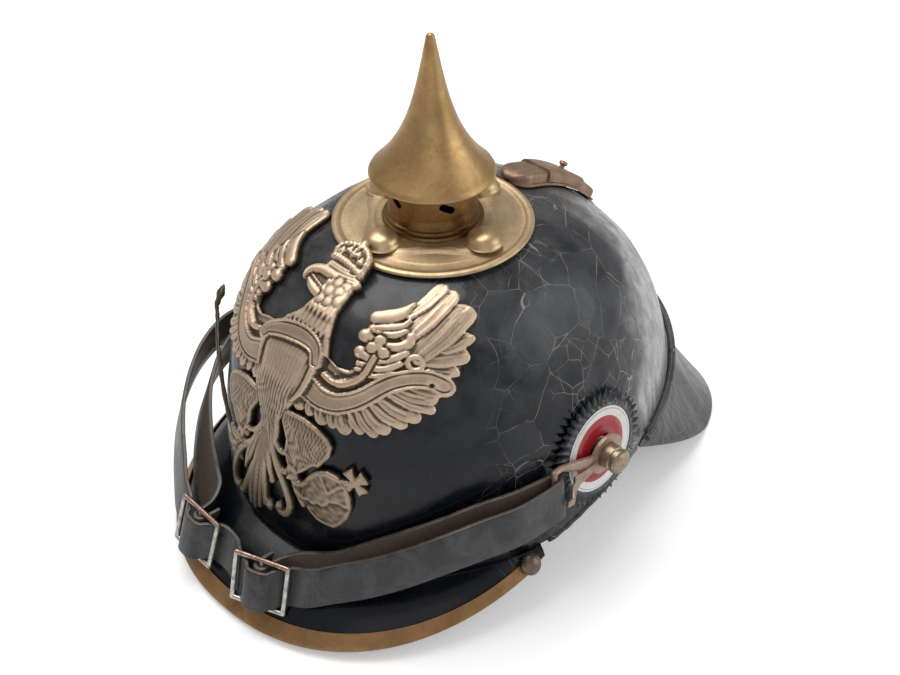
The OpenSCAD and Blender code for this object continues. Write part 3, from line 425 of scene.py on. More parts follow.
shell_black = shell_lacquer()
cols, rows = 300, 96
round_u = np.arange(cols) * 360 / cols
top_th = np.arccos((air_hole / 2 / half_w) ** (brow_n / 2))
rim_th = np.arcsin(share(rim_at(round_u)))


def shell_ring(k, off):
    """Ring of the shell at share k of the way from its rim to the crown's hole, its sheet uneven by a third of a
    millimetre except at its two edges."""
    th = rim_th + (top_th - rim_th) * (1 - (1 - k) ** 1.5)
    p = shell_pt(round_u, np.sin(th), off)
    lumps = 0.32 * ripple(p, 61) + 0.16 * ripple(p, 23, 1.3)
    settled = np.clip((k - 0.02) * 8, 0, 1) * np.clip((0.93 - k) * 12, 0, 1)
    return p + shell_n(round_u, np.sin(th)) * (lumps * settled)[:, None]


outer, inner = (np.array([shell_ring(k, off) for k in np.linspace(0, 1, rows)]) for off in (0.0, -shell_t))
cut_edge = (outer[0] + inner[0]) / 2 - [0, 0, 0.5]
outer[0, :, 2] += 0.4
inner[0, :, 2] += 0.4
loft("skull_leather", np.concatenate([outer, inner[::-1], cut_edge[None]]), "helmet", shell_black, ["skull"],
     loop=True, sharp=60)


# Bound rim
# Between visor and guard, under each cockade, the shell's cut rim shows. It is bound with a thin roll of
# leather, dark and a little uneven.
def rolled(path, across, up, shape):
    """Sections of an outline carried along a path, each of its points as much across and up as it says. The outline
    may change along the path."""
    return path[:, None] + across[:, None] * shape[..., :1] + up[:, None] * shape[..., 1:]


def oval(n, width, height):
    """Closed oval of n points, by cosine and sine."""
    a = np.linspace(0, 2 * np.pi, n, endpoint=False)
    return np.stack([width * np.cos(a), height * np.sin(a)], -1)


both_sides = ((1, "left"), (-1, "right"))
bind_u = np.linspace(-12, 16.5, 40)
bind_r = (1.85 + 0.12 * np.sin(bind_u * 1.7))[:, None, None]
for x, name in both_sides:
    bind = (shell_pt(bind_u, share(rim_at(bind_u)), -shell_t / 2) - [0, 0, 0.5]) * [x, 1, 1]
    out_n = shell_n(bind_u, share(rim_at(bind_u))) * [x, 1, 1]
    up_n = np.cross(unit(np.gradient(bind, axis=0)), out_n)
    loft(f"rim_roll_{name}", rolled(bind, out_n, up_n, bind_r * oval(16, 1, 1.15)), "helmet", shell_black, ())


# Front visor
# A second piece of leather, blocked to a shallow curve. Its lip turns up inside the shell's rim, where it is
# glued and sewn, and its hem is held by the brass trim.
visor_u, visor_foot, visor_w, visor_reach, visor_end_y, visor_end_z = 77.0, 2.94, 95.0, 141.0, 24.0, 23.0
brim_t, seat, flats, lip_h = 2.4, 0.3, 0.5, 7.0
lip_off = -shell_t - seat - flats


def visor_hem(t):
    """Hem of the visor from the wearer's right, t = -90, to the left, t = 90."""
    c, s = np.abs(np.cos(np.radians(t))), np.sin(np.radians(t))
    return np.stack([visor_w * spow(s, 0.9), -visor_end_y - (visor_reach - visor_end_y) * c ** 0.82,
                     visor_foot + visor_end_z * (1 - c ** 0.55)], -1)


def visor_pt(t, v):
    """Upper face of the visor, v from its seam, 0, to its hem, 1: a straight run with a low swell."""
    t, v = np.broadcast_arrays(np.asarray(t, float), np.asarray(v, float))
    a = shell_pt(-90 + t / 90 * visor_u, 0.0, 0.4)
    a = np.stack([a[..., 0], a[..., 1], np.full(t.shape, rim_z - seat - 0.4)], -1)
    b = visor_hem(t)
    swell = 3.4 * np.sin(np.pi * v) * np.maximum(np.cos(np.radians(t)), 0.15)
    up = unit(np.stack([b[..., 0] * 0.6, b[..., 1] * 0.6, np.full(t.shape, 60.0)], -1))
    return a + (b - a) * v[..., None] + swell[..., None] * up


def sheet_n(sheet, t, v):
    """Upward normal of the visor or guard, from two short steps along its face: a degree across, 0.06 down it."""
    v = np.asarray(v, float)
    low = np.minimum(v + 0.03, 1)
    return unit(np.cross(sheet(t, low) - sheet(t, low - 0.06), sheet(t + 0.5, v) - sheet(t - 0.5, v)))


def visor_section(t):
    """Closed section of the visor at t: over its face to the hem, round it, back below and up the lip."""
    v = np.linspace(0, 1, 26)
    face, n = visor_pt(t, v), sheet_n(visor_pt, t, v)
    low = face - n * brim_t
    hem = (face[-1] + low[-1]) / 2 + unit(face[-1] - face[-2]) * 0.5
    outer, inner = (shell_pt(-90 + t / 90 * visor_u, 0.0, off)[:2] for off in (lip_off, lip_off - brim_t))
    lip = [[*inner, rim_z - brim_t], [*inner, rim_z + lip_h], [*outer, rim_z + lip_h], [*outer, rim_z - seat - 0.4]]
    return np.vstack([face, hem[None], low[::-1], lip])


visor_black = lacquer("black_visor_leather", plates=21, curl=0.7, dust=0.35)
loft("visor_leather", np.array([visor_section(t) for t in np.linspace(-88, 88, 220)]), "helmet", visor_black,
     ["front_visor"])


# Visor trim
# A brass channel is folded over the visor's hem and held by a stud at each end. Handling has worn its face,
# and brown stains lie along its lower side.
trim_w, trim_t = 7.5, 0.8


def brass_finish(name, bright, deep, rough=0.36, stain=0.5, metal=1.0, shade_and_grime=None):
    """Sheet brass: broad clouds of tarnish, small stains and fine wiping scratches, all in colour and gloss."""
    f = Finish(name, metal=metal, rough=rough)
    cloud = f.rising(f.noise(21, 5, 0.6, 0.5), 0.32, 0.7)
    speck = f.rising(f.noise(3.2, 7, 0.72, 1.2), 0.5, 0.68)
    hair = f.noise(1.0, 2, 0.5, at=f.vector("MULTIPLY", f.warped(30, 6), (1.0, 0.16, 0.4)))
    colour = f.mix(cloud, deep, bright)
    colour = f.mix(f.times(speck, stain), colour, tuple(c * 0.42 for c in deep))
    # where a value on the mesh is given, it darkens the hollows, partly as grime and partly as painted shade, and
    # lightens the highest crests
    if shade_and_grime:
        depth = f.attribute(shade_and_grime)
        colour = f.mix(f.rising(depth, 0.25, 0.72), tuple(c * 0.22 for c in deep), colour)
        colour = f.mix(f.ramp(depth, (0.8, 0.0), (1.0, 0.4)), colour, tuple(min(c * 1.35, 1) for c in bright))
    f.set(Base_Color=colour)
    worn = f.math("ADD", f.times(speck, 0.16 * stain), f.times(cloud, -0.07, rough))
    f.set(Roughness=f.math("ADD", worn, f.times(hair, 0.12, -0.06)))
    low = f.bump(f.noise(9, 3, 0.5), 0.10)
    f.set(Normal=f.bump(hair, 0.012, low))
    return f


plate_brass = brass_finish("aged_brass", (0.72, 0.535, 0.325), (0.46, 0.33, 0.19), rough=0.44, stain=0.4, metal=0.8)
trim_brass = brass_finish("stained_brass", (0.41, 0.235, 0.108), (0.24, 0.13, 0.055), rough=0.5, stain=0.3, metal=0.88)


def trim_section(t):
    """Closed section of the channel at t: its inner face round the hem, then its outer face back, with soft edges."""
    whole = np.linalg.norm(visor_pt(t, 1.0) - visor_pt(t, 0.0))
    g = seat + 0.1
    bend = np.linspace(-np.pi / 2, np.pi / 2, 9)
    mid = -brim_t / 2
    prof = []
    for k in (0.0, trim_t):
        high = brim_t / 2 + g + k
        nose = [[0.15 + (g + k * 1.2) * np.cos(a), mid + high * np.sin(a)] for a in bend]
        lower = [[x, mid - high] for x in (-trim_w, -trim_w * 0.6, -trim_w * 0.3)]
        upper = [[x, mid + high] for x in (-trim_w * 0.3, -trim_w * 0.6, -trim_w)]
        prof.append(np.array(lower + nose + upper))
    prof[1][0, 0] -= 0.25
    prof[1][-1, 0] -= 0.25
    prof[1][-1, 1] -= 0.15
    ring = np.vstack([prof[0], prof[1][::-1]])
    v = 1 + np.maximum(ring[:, 0], -0.6 * whole) / whole
    return visor_pt(t, v) + sheet_n(visor_pt, t, np.minimum(v, 1)) * ring[:, 1:]


loft("trim_channel", np.array([trim_section(t) for t in np.linspace(-86, 86, 260)]), "helmet", trim_brass,
     ["visor_trim"], sharp=50)


# Neck guard
# The guard's leather is thinner and has dried harder than the shell's: it is grey with wear, creased in rays
# from its seam, and pale along its cut hem. Its lip is sewn inside the rim as the visor's is.
guard_u, guard_foot, guard_w, guard_reach, guard_side_y = 17.0, 1.6, 89.0, 150.0, 40.0


def guard_hem(t):
    """Hem of the guard from the wearer's left, t = -90, round the back to the right, t = 90."""
    c, s = np.abs(np.cos(np.radians(t))), np.abs(np.sin(np.radians(t)))
    r = (c ** 3.2 + s ** 3.2) ** (-1 / 3.2)
    y = guard_side_y + (guard_reach - guard_side_y) * r * c
    drop = np.maximum(0, 1 - (y - guard_side_y) / 70) ** 1.15
    z = guard_foot + (rim_at(guard_u) - 3 - guard_foot) * drop
    return np.stack([-guard_w * r * np.sin(np.radians(t)), y, z], -1)


def guard_pt(t, v):
    """Upper face of the guard, v from its seam, 0, to its hem, 1, slightly hollow at the back."""
    t, v = np.broadcast_arrays(np.asarray(t, float), np.asarray(v, float))
    u = 90 + t / 90 * (90 - guard_u)
    a = shell_pt(u, share(rim_at(u)), 0.4)
    a = np.stack([a[..., 0], a[..., 1], rim_at(u) - seat - 0.6], -1)
    b = guard_hem(t)
    swell = -3 * np.sin(np.pi * v) * np.maximum(np.cos(np.radians(t)), 0)
    up = unit(np.stack([b[..., 0] * 0.6, b[..., 1] * 0.6, np.full(t.shape, 50.0)], -1))
    return a + (b - a) * v[..., None] + swell[..., None] * up


def guard_section(t):
    """Closed section of the guard at t: face, hem, underside and lip, with the low waves of dried leather."""
    v = np.linspace(0, 1, 30)
    face, n = guard_pt(t, v), sheet_n(guard_pt, t, v)
    wave = 0.35 * np.sin(np.radians(t) * 13 + 2.0 * v) * np.sin(np.pi * v * 0.8) * np.clip(4 * (1 - v), 0, 1)
    face = face + n * (wave * (np.abs(t) > 12))[:, None]
    low = face - n * brim_t
    hem = (face[-1] + low[-1]) / 2 + unit(face[-1] - face[-2]) * 0.4
    u = 90 + t / 90 * (90 - guard_u)

    def lip(dz, off):
        """Point of the lip dz above the rim, standing off the shell by off."""
        p = shell_pt(u, share(rim_at(u) + dz), off - 0.2)
        return [p[0], p[1], rim_at(u) + dz]

    inside = [lip(-brim_t, lip_off - brim_t), lip(lip_h, lip_off - brim_t), lip(lip_h, lip_off),
              lip(-seat - 0.4, lip_off)]
    return np.vstack([face, hem[None], low[::-1], inside])


def guard_lacquer():
    """The guard's lacquer, greyer than the shell's, worn in patches to pale leather along the hem."""
    f = lacquer("grey_guard_leather", plates=26, curl=0.6, dust=0.8, crease=14)
    hem = f.ramp(f.uv()[1], (0.40, 0.0), (0.455, 0.55), (0.49, 0.2), (0.52, 0.0))
    patchy = f.rising(f.noise(7, 6, 0.7, 1.5), 0.45, 0.62)
    grey = f.mix(0.6, f.now("Base Color"), (0.040, 0.042, 0.042))
    f.set(Base_Color=f.mix(f.times(hem, patchy), grey, (0.21, 0.20, 0.18)))
    return f


guard_black = guard_lacquer()
loft("guard_leather", np.array([guard_section(t) for t in np.linspace(-89, 89, 240)]), "helmet", guard_black,
     ["neck_guard"])


# Welt over the guard's seam
# A strip of leather, doubled and rolled, covers the stitches between shell and guard. Its two rolls lie
# one above the other, and its ends behind the cockades are frayed.
welt_d, guard_cols = 4.0, 150


def welt_lacquer():
    """The welt's lacquer, rubbed pale in patches."""
    f = lacquer("rolled_welt_leather", plates=9, curl=0.5, dust=1.3)
    worn = f.ramp(f.noise(5, 5, 0.65), (0.40, 0.15), (0.62, 0.75))
    f.set(Base_Color=f.mix(worn, f.now("Base Color"), (0.105, 0.098, 0.085)))
    return f


welt_t = np.linspace(-88, 88, guard_cols)
welt_u = 90 + welt_t / 90 * (90 - guard_u)
welt_z = rim_at(welt_u) + welt_d * 0.4
welt_n = shell_n(welt_u, share(welt_z))
welt_path = shell_pt(welt_u, share(welt_z)) + (welt_d / 2 + seat + 0.1) * welt_n
welt_up = unit(np.cross(np.gradient(welt_path, axis=0), welt_n))
circle = oval(28, 1, 1)
pinch = 1 - 0.34 * np.exp(-((circle[:, 1] / 0.22) ** 2)) * (circle[:, 0] > 0)
two_rolls = circle * np.stack([pinch, np.ones(28)], -1) * welt_d / 2
welt = rolled(welt_path, welt_n, welt_up, two_rolls)
fray = np.clip((np.abs(welt_t) - 78) / 10, 0, 1) * 0.5 * np.sin(np.arange(guard_cols) * 2.1)
welt += (welt_n * fray[:, None])[:, None]
loft("welt_roll", welt, "helmet", welt_lacquer(), ["guard_welt"], sharp=60)


# Base plate
# A round of sheet brass, spun with a rolled lip and a trough inside it. Its raised middle is drawn in
# between the four studs, which hold it to the crown with their prongs.
plate_r, stud_ring, plate_z = 45.0, 31.0, 148.5


def turned(name, profile, finish, swaps=(), steps=160, sharp=40.0, wobble=None, centre=(0, 0, 0)):
    """Brass turned about the spike's axis, moved by centre, from a closed profile of radii and heights. Wobble moves
    its points, given their angle, radius and height."""
    profile = np.asarray(profile, float)
    a = np.linspace(0, 2 * np.pi, steps, endpoint=False)
    r, z = np.tile(profile[:, 0], (steps, 1)), np.tile(profile[:, 1], (steps, 1))
    if wobble:
        r, z = wobble(a[:, None], r, z)
    p = np.stack([r * np.cos(a)[:, None], r * np.sin(a)[:, None] - crown_lead, z], -1) + centre
    loft(name, p, "helmet", finish, swaps, loop=True, sharp=sharp)


def rounded(points, n=6, r=0.35):
    """Outline with each corner cut back by r, at most a third of its sides, and rounded by a quadratic curve."""
    points = np.asarray(points, float)
    out = []
    for a, b, c in zip(np.roll(points, 1, 0), points, np.roll(points, -1, 0)):
        la, lc = np.linalg.norm(a - b), np.linalg.norm(c - b)
        p, q = b + (a - b) * min(r / la, 0.33), b + (c - b) * min(r / lc, 0.33)
        t = np.linspace(0, 1, n)[:, None]
        out.append(p * (1 - t) ** 2 + 2 * b * t * (1 - t) + q * t ** 2)
    return np.vstack(out)


plate_profile = rounded([[air_hole / 2, 0.1], [29, 0.1], [34, -0.4], [38.5, -1.3], [41.6, -1.9],
                         [plate_r - 0.6, -1.95], [plate_r + 0.1, -1.4], [plate_r - 0.3, -0.4], [plate_r - 1.9, 0.15],
                         [plate_r - 3.3, -0.3], [plate_r - 4.2, -1.0], [plate_r - 5.4, -1.05], [37.5, -0.75],
                         [36, -0.4], [34.2, 0.8], [32.4, 1.45], [26.5, 1.45], [24.6, 1.05],
                         [air_hole / 2, 1.0]], 7, 1.2)
plate_profile[:, 1] += plate_z


def drawn_in(a, r, z):
    """Between the studs, the step of the raised middle moves inwards by up to 7 mm, and its top is a little lower."""
    between = np.cos(2 * a) ** 2
    top = np.clip((z - plate_z - 0.15) / 0.9, 0, 1) * np.clip((r - 24) / 5, 0, 1)
    pull = (1 - between) * 7.0 * np.clip((r - 26.6) / 6, 0, 1) * np.clip((40 - r) / 4, 0, 1)
    return r - pull * (z > plate_z - 0.3), z - 0.05 * (1 - between) * top


turned("base_plate_brass", plate_profile, plate_brass, ["base_plate"], steps=240, wobble=drawn_in)


# Domed studs
# Four domed heads stand round the raised middle. Each gets a smooth skin, let into the plate by a soft flange,
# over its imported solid, whose shank and prongs stay.
stud_z, dome_r, dome_h, flange = plate_z + 1.0, 7.7, 6.0, 0.9
arc = np.linspace(0, np.pi / 2, 12)[1:-1]
skin = np.vstack([[[0.02, 0.2], [dome_r + flange, 0.2], [dome_r + 0.95, 0.55], [dome_r + 0.3, 0.95]],
                  np.stack([dome_r * np.cos(arc) ** 0.9, 1.1 + (dome_h - 1.1) * np.sin(arc)], -1), [[0.02, dome_h]]])
stud_brass = brass_finish("domed_stud_brass", (0.78, 0.57, 0.33), (0.50, 0.355, 0.19), rough=0.40, stain=0.35,
                          metal=0.85)
for k in range(4):
    middle = [stud_ring * np.cos(k * np.pi / 2), stud_ring * np.sin(k * np.pi / 2), stud_z]
    turned(f"stud_dome_{k + 1}", skin, stud_brass, steps=48, sharp=60, centre=middle)


# Spike
# One spun brass cone, hollow, whose flare ends in a small rounded lip. It is soldered to the neck tube,
# which stands on the plate by a stepped foot.
flare_r, spike_h, tip_r, neck_z, neck_h, neck_r = 27.8, 64.0, 1.6, 149.55, 23.0, 20.0
flare_z = neck_z + neck_h
below = np.linspace(1, 0.03, 90)
spike_r = tip_r + (flare_r - tip_r) * (0.475 * below + 0.525 * below ** 4)
spike_z = flare_z + 1 + (spike_h - 1) * (1 - below)
point = [[spike_r[-1] * np.cos(a), spike_z[-1] + 1.9 * np.sin(a)] for a in np.linspace(0.25, np.pi / 2, 6)]
wall = np.stack([spike_r - 1.2, spike_z - 0.5], -1)[:66]
spike_profile = np.vstack([
    [[neck_r, flare_z - 1], [flare_r - 1.6, flare_z - 1], [flare_r - 0.5, flare_z - 0.75], [flare_r, flare_z - 0.2],
     [flare_r + 0.02, flare_z + 0.35], [flare_r - 0.35, flare_z + 0.8]],
    np.stack([spike_r, spike_z], -1)[1:], point[:-1], [[0.05, point[-1][1]]], [[0.05, wall[-1][1] + 4]], wall[::-1],
    [[flare_r - 2, flare_z], [neck_r, flare_z]]])
spike_brass = brass_finish("spun_brass", (0.63, 0.405, 0.18), (0.38, 0.235, 0.10), rough=0.42, stain=0.3, metal=0.92)
turned("spike_cone", spike_profile, spike_brass, ["spike"], steps=180, sharp=50)


# Spine, track and sliding vent
# A copper-toned strip runs down the nape and over the guard. Its top is a hollow track over the shell's
# air hole, with a cover that slides by its knob to close it.
spine_w, spine_t, track_h, track_w, brass_t = 14.0, 1.4, 5.5, 17.0, 0.9
vent_cy, vent_cz, vent_r = 23.8617, 53.9305, 93.0425
track_from, track_to = 16.0, 48.0
slide_gap, slide_from = 0.2, 23.0
slide_to = slide_from + np.degrees(30.0 / (vent_r + track_h))


def copper_finish(name, bright, deep, rough=0.48):
    """Copper-rich brass that has browned, pink-bright in rubbed patches and grey in small specks."""
    f = Finish(name, metal=0.75, rough=rough)
    cloud = f.rising(f.noise(11, 5, 0.62, 0.7), 0.36, 0.66)
    speck = f.rising(f.noise(2.4, 7, 0.7, 1.0), 0.48, 0.7)
    colour = f.mix(cloud, deep, bright)
    colour = f.mix(f.times(speck, 0.4), colour, (0.16, 0.145, 0.12))
    f.set(Base_Color=colour)
    f.set(Roughness=f.times(speck, 0.25, rough - 0.05))
    f.set(Normal=f.bump(f.noise(4, 4, 0.6), 0.09))
    return f


spine_copper = copper_finish("browned_copper", (0.43, 0.275, 0.19), (0.25, 0.16, 0.11))


def vent_pt(a, x, h):
    """Point on the vent's circle at lean a in degrees, x across it and h above it."""
    a, x, h = np.broadcast_arrays(np.radians(a), x, h)
    return np.stack([x, vent_cy + (vent_r + h) * np.sin(a), vent_cz + (vent_r + h) * np.cos(a)], -1)


def hat(k):
    """Closed section of the track, as across and height, narrowed by k at its nose."""
    half, h = track_w / 2 * k, brass_t + (track_h - brass_t) * k ** 0.6
    turn = np.linspace(0, np.pi / 2, 6)
    c = 2.6 * k
    crest = [[half - c + c * np.sin(t), h - c + c * np.cos(t)] for t in turn[::-1]]
    right = [[half + 2, brass_t * 0.6], [half + 1.8, brass_t], [half + 0.3, brass_t]] + crest + [[half * 0.3, h]]
    inside = [[half * 0.3, h - brass_t], [half - c, h - brass_t], [half - brass_t * k, h - c],
              [half - brass_t * k, 0.0], [half + 2, 0.0]]
    left = [[-x, y] for x, y in right[::-1] + inside[::-1]]
    return np.array(right + left + inside)


nose = np.degrees(track_w / 2 / vent_r)
leans = np.concatenate([np.linspace(track_to, track_from, 48), track_from - nose * np.sin(np.linspace(0.1, 1.35, 12))])
narrow = np.sqrt(1 - (np.maximum(0, track_from - leans) / nose) ** 2)
track = np.array([vent_pt(a, *hat(max(n, 0.08)).T) for a, n in zip(leans, narrow)])
loft("vent_rail", track, "helmet", spine_copper, ["vent_track"])


def cover_section(a):
    """Closed section of the slide: it wraps the track's top and both sides."""
    half, r, top, c = track_w / 2 + slide_gap, brass_t + slide_gap, track_h + slide_gap, 2.5
    turn = np.linspace(0, np.pi / 2, 7)
    arc = np.array([[half - c + c * np.cos(t), top - c + c * np.sin(t)] for t in turn])
    out = np.array([[half - c + (c + brass_t) * np.cos(t), top - c + (c + brass_t) * np.sin(t)] for t in turn])
    inside, outside = np.vstack([[half, r], arc]), np.vstack([[half + brass_t, r], out])
    ring = np.vstack([outside, outside[::-1] * [-1, 1], inside * [-1, 1], inside[::-1]])
    return vent_pt(a, *ring.T)


cover_leans = np.linspace(slide_from, slide_to, 26)
loft("vent_cover", np.array([cover_section(a) for a in cover_leans]), "vent", spine_copper, ["vent_slide"])

# the strip's way from the guard's hem over the welt and up to the track, each place with its normal and lift
z_top = vent_cz + vent_r * np.cos(np.radians(track_to)) - 2
z_foot = rim_at(90) + welt_d + 6
lift = seat + flats
spine_rows = [(guard_pt(0.0, v), sheet_n(guard_pt, 0.0, v), lift) for v in (1, 0.9, 0.8, 0.68, 0.55, 0.42, 0.3)]
for dz in (-welt_d * 0.55, 0, welt_d * 0.4):
    s = share(rim_at(90) + welt_d * 0.4 + dz)
    spine_rows.append((shell_pt(90.0, s), shell_n(90.0, s), welt_d + 3 * seat))
for z in np.linspace(z_foot, z_top, 14):
    spine_rows.append((shell_pt(90.0, share(z)), shell_n(90.0, share(z)), lift))


def flowing(points, per):
    """Curve through a row of points, each stretch in per steps, by the Catmull-Rom blend of its four neighbours."""
    p = np.asarray(points, float)
    p = np.vstack([p[:1], p, p[-1:]])
    t = np.linspace(0, 1, per, endpoint=False)[:, None, None]
    a, b, c, d = p[None, :-3], p[None, 1:-2], p[None, 2:-1], p[None, 3:]
    q = 0.5 * (2 * b + (c - a) * t + (2 * a - 5 * b + 4 * c - d) * t ** 2 + (3 * b - a - 3 * c + d) * t ** 3)
    return np.vstack([q.transpose(1, 0, 2).reshape(-1, p.shape[1]), p[-1:]])


way = flowing([np.concatenate([p, n, [h]]) for p, n, h in spine_rows], 4)
span = np.linspace(-1, 1, 11)
arch = spine_t * (1 - 0.35 * span * span)
strip = np.concatenate([np.stack([span, arch], -1), np.stack([span[::-1], 0 * span], -1)])
spine = (way[:, None, :3] + unit(way[:, None, 3:6]) * (way[:, None, 6:7] + strip[None, :, 1:])
         + np.stack([strip[:, 0] * spine_w / 2, -strip[:, 0] ** 2 * 0.25, 0 * strip[:, 0]], -1)[None])
loft("spine_strip", spine, "helmet", spine_copper, ["rear_spine"], sharp=50)


# Eagle plate
# The front plate is stamped from sheet brass in one blow: primaries, coverts, scroll and breast stand at
# different heights, and fine feather lines are chased between them. Two loops behind it go through the shell.
eagle_lean, eagle_foot, eagle_tilt = np.radians(40), np.array([-1.0, 25.0]), np.radians(-1.5)
cell = 0.45
ga, gb = np.meshgrid(np.arange(-70, 70.01, cell), np.arange(-46, 92.01, cell), indexing="ij")
eagle_turn = np.array([[np.cos(eagle_tilt), -np.sin(eagle_tilt)], [np.sin(eagle_tilt), np.cos(eagle_tilt)]])


def on_plane(a, b):
    """The plate's own upright drawing turned by its tilt about its foot, in the leaning plane."""
    return (np.stack([a, b], -1) - [0, eagle_foot[1]]) @ eagle_turn.T + eagle_foot


flat = on_plane(ga.ravel(), gb.ravel())
half = on_plane(np.abs(ga.ravel()), gb.ravel())
rise = np.full(len(flat), -1.0)
outline = np.full(len(flat), 1e3)


def along(p, path):
    """Distance of points p from a row of points, the share of its length where the nearest place lies, and the
    distance with its side as a sign."""
    path = np.asarray(path, float)
    best, at, side, run = np.full(len(p), 1e9), np.zeros(len(p)), np.zeros(len(p)), 0.0
    for a, b in zip(path[:-1], path[1:]):
        d = b - a
        size = np.hypot(*d)
        t = np.clip((p - a) @ d / size ** 2, 0, 1)
        q = p - a - t[:, None] * d
        far = np.hypot(q[:, 0], q[:, 1])
        near = far < best
        best = np.where(near, far, best)
        at = np.where(near, run + t * size, at)
        side = np.where(near, np.sign(d[0] * q[:, 1] - d[1] * q[:, 0]) * far, side)
        run += size
    return best, at / run, side


def inside_of(p, poly):
    """Depth of points inside a polygon, negative outside: the distance to its nearest side, signed by crossings."""
    poly = np.asarray(poly, float)
    d, _, _ = along(p, np.vstack([poly, poly[:1]]))
    odd = np.zeros(len(p), bool)
    for a, b in zip(poly, np.roll(poly, -1, 0)):
        cross = (a[1] > p[:, 1]) != (b[1] > p[:, 1])
        odd ^= cross & (p[:, 0] < a[0] + (b[0] - a[0]) * (p[:, 1] - a[1]) / (b[1] - a[1] + 1e-12))
    return np.where(odd, d, -d)


def dome(d, r):
    """Rounded section of radius r at distance d from its middle, 1 at the middle and 0 at the edge."""
    return np.sqrt(np.clip(1 - (d / r) ** 2, 0, 1))


def line(d, wide):
    """Fine raised line of that width at distance d from its middle."""
    return np.exp(-(d / wide * 2) ** 2)


def stamp(depth, height, over=True):
    """Presses a form into the plate: depth is how far a point lies inside it, height how high it stands there.
    It covers what it reaches if over, and otherwise the higher form shows."""
    global rise, outline
    rise = np.where(depth > 0, height if over else np.maximum(rise, height), rise)
    outline = np.minimum(outline, -depth)


def far(p, spot):
    """Distance of points p from a spot."""
    return np.hypot(*(p - spot).T)


def spread(r, t):
    """Value at shares t of a path whose values r are given at even steps along it."""
    r = np.atleast_1d(r)
    return np.interp(t, np.linspace(0, 1, len(r)), r)


def rod(p, path, r, base, crown, over=True, flute=0.0):
    """Rounded bar along a path, its radius r given along it, with an optional middle groove."""
    d, t, side = along(p, flowing(path, 5))
    r = spread(r, t)
    stamp(r - d, base + crown * dome(d, r) - flute * line(side, 1.1) + 0.22 * line(d / r - 0.86, 0.2), over)


# sheet behind the feathers, then the feathers from the lowest to the highest, each lapping over the one below
stamp(inside_of(half, [(14.5, 41), (19, 40.6), (24, 39.2), (29, 40.4), (30.5, 44), (29, 50), (27.5, 58), (29, 66),
                       (35, 72), (37, 84), (52, 82), (58, 70), (61, 62), (61, 50), (58, 40), (55, 32), (49, 25),
                       (42, 21), (34, 18), (24, 17), (13, 18)]), 0.4)
feathers = [((13.4, 21), (13.2, 15.6), 3.1), ((18.9, 21), (18.9, 15.9), 2.4), ((24, 21), (25.1, 15.1), 3.3),
            ((28.4, 21), (30.2, 16.4), 2.2), ((32.2, 22), (35.9, 16.9), 3.4), ((36, 25), (41.3, 20.2), 2.4),
            ((38.6, 27), (46.2, 21.8), 2.5), ((40.6, 30), (49.6, 25.2), 3.2), ((43, 33), (54.2, 31), 3.1),
            ((44.5, 36.5), (57.3, 36), 3.4), ((46.5, 40), (60.2, 41.6), 2.3), ((48, 43), (59.4, 46.2), 3.2),
            ((52, 47.5), (62.6, 52.8), 3.7), ((54, 56), (61.4, 59.8), 2.4), ((49, 57.5), (60.6, 67.8), 3.9),
            ((54, 65), (57.7, 75), 2.5), ((48, 58.5), (50.6, 84.2), 5.0), ((41.5, 63), (42.6, 86.6), 3.9),
            ((37, 71), (38.2, 87), 2.9)]
low_feathers = 12
for i, (root, tip, wide) in enumerate(feathers):
    # the low feathers are narrow and ridged, those above them broad and flat
    swell, square, chased, blunt = (0.85, 3, 1.0, 1.0) if i < low_feathers else (0.6, 9, 0.45, 0.2)
    root, tip = np.array(root), np.array(tip)
    tip = tip - (wide - blunt) * (tip - root) / np.hypot(*(tip - root))
    sway = np.array([tip[1] - root[1], root[0] - tip[0]]) * (0.07 if i < 14 else 0.05)
    d, t, side = along(half, flowing([root, (root + tip) / 2 + sway, tip], 6))
    r = wide * np.interp(t, [0, 0.45, 1], [0.72, 0.96, 1.0])
    e = d / r
    form = 1.0 + 0.035 * i + swell * np.sqrt(np.clip(1 - e ** square, 0, 1)) - 0.34 * side / r
    form += chased * (0.24 * line(e - 0.86, 0.16) - 0.12 * line(e - 0.66, 0.18))
    form += chased * 0.24 * (line(side, 0.8) - line(np.abs(side) - 0.36 * r, 0.7)) * (t < 0.86) * (t > 0.02)
    form += 0.05 * np.sin(side * 5 + 3 * t) * (i >= low_feathers)
    stamp(r - d, form)

# shoulder of the wing: lapped coverts with their round ends, the scroll's stem and clover, and the scroll
for path, r in (([(36.5, 42.4), (39.8, 44.2), (43.4, 48)], (1.0, 1.1, 0.9)),
                ([(36.4, 45.6), (41, 48), (44.4, 52.4)], (1.3, 1.5, 1.3)),
                ([(36.6, 49), (41, 52.4), (44.2, 57)], (1.4, 1.7, 1.4)), ([(31.6, 42.6), (35, 43.6)], 1.0),
                ([(31, 45), (35.2, 46)], 1.1), ([(29.6, 49.2), (33.5, 48.6)], (2.6, 1.6)),
                ([(37, 56), (40.6, 57.6), (43, 60.6), (42.4, 63.6)], (1.6, 2.0, 2.1, 1.6)),
                ([(28.7, 59.3), (31.5, 59.5)], (1.7, 1.3)), ([(27.9, 55.6), (31, 55.4)], (2.9, 2.0)),
                ([(33.2, 59.2), (37, 61.2), (39.8, 64.4)], (1.1, 1.6, 1.1)),
                ([(29.9, 60.3), (34, 62.6), (37.6, 65.6), (38.3, 68.6)], (1.2, 1.7, 1.7, 0.9)),
                ([(27.3, 63.7), (31.2, 66.2), (34.3, 70), (35.2, 74.8)], (2.7, 3.2, 2.6, 0.9))):
    rod(half, path, r, 1.6, 1.25)
d = far(half, (27.9, 55.7))
stamp(2.7 - d, 1.9 + 1.7 * dome(d, 2.7))
hem_d, _, _ = along(half, flowing([(15, 41.6), (19.4, 41.2), (24.6, 39.7), (28.8, 40.2), (30.4, 43), (29.6, 46.4)], 5))
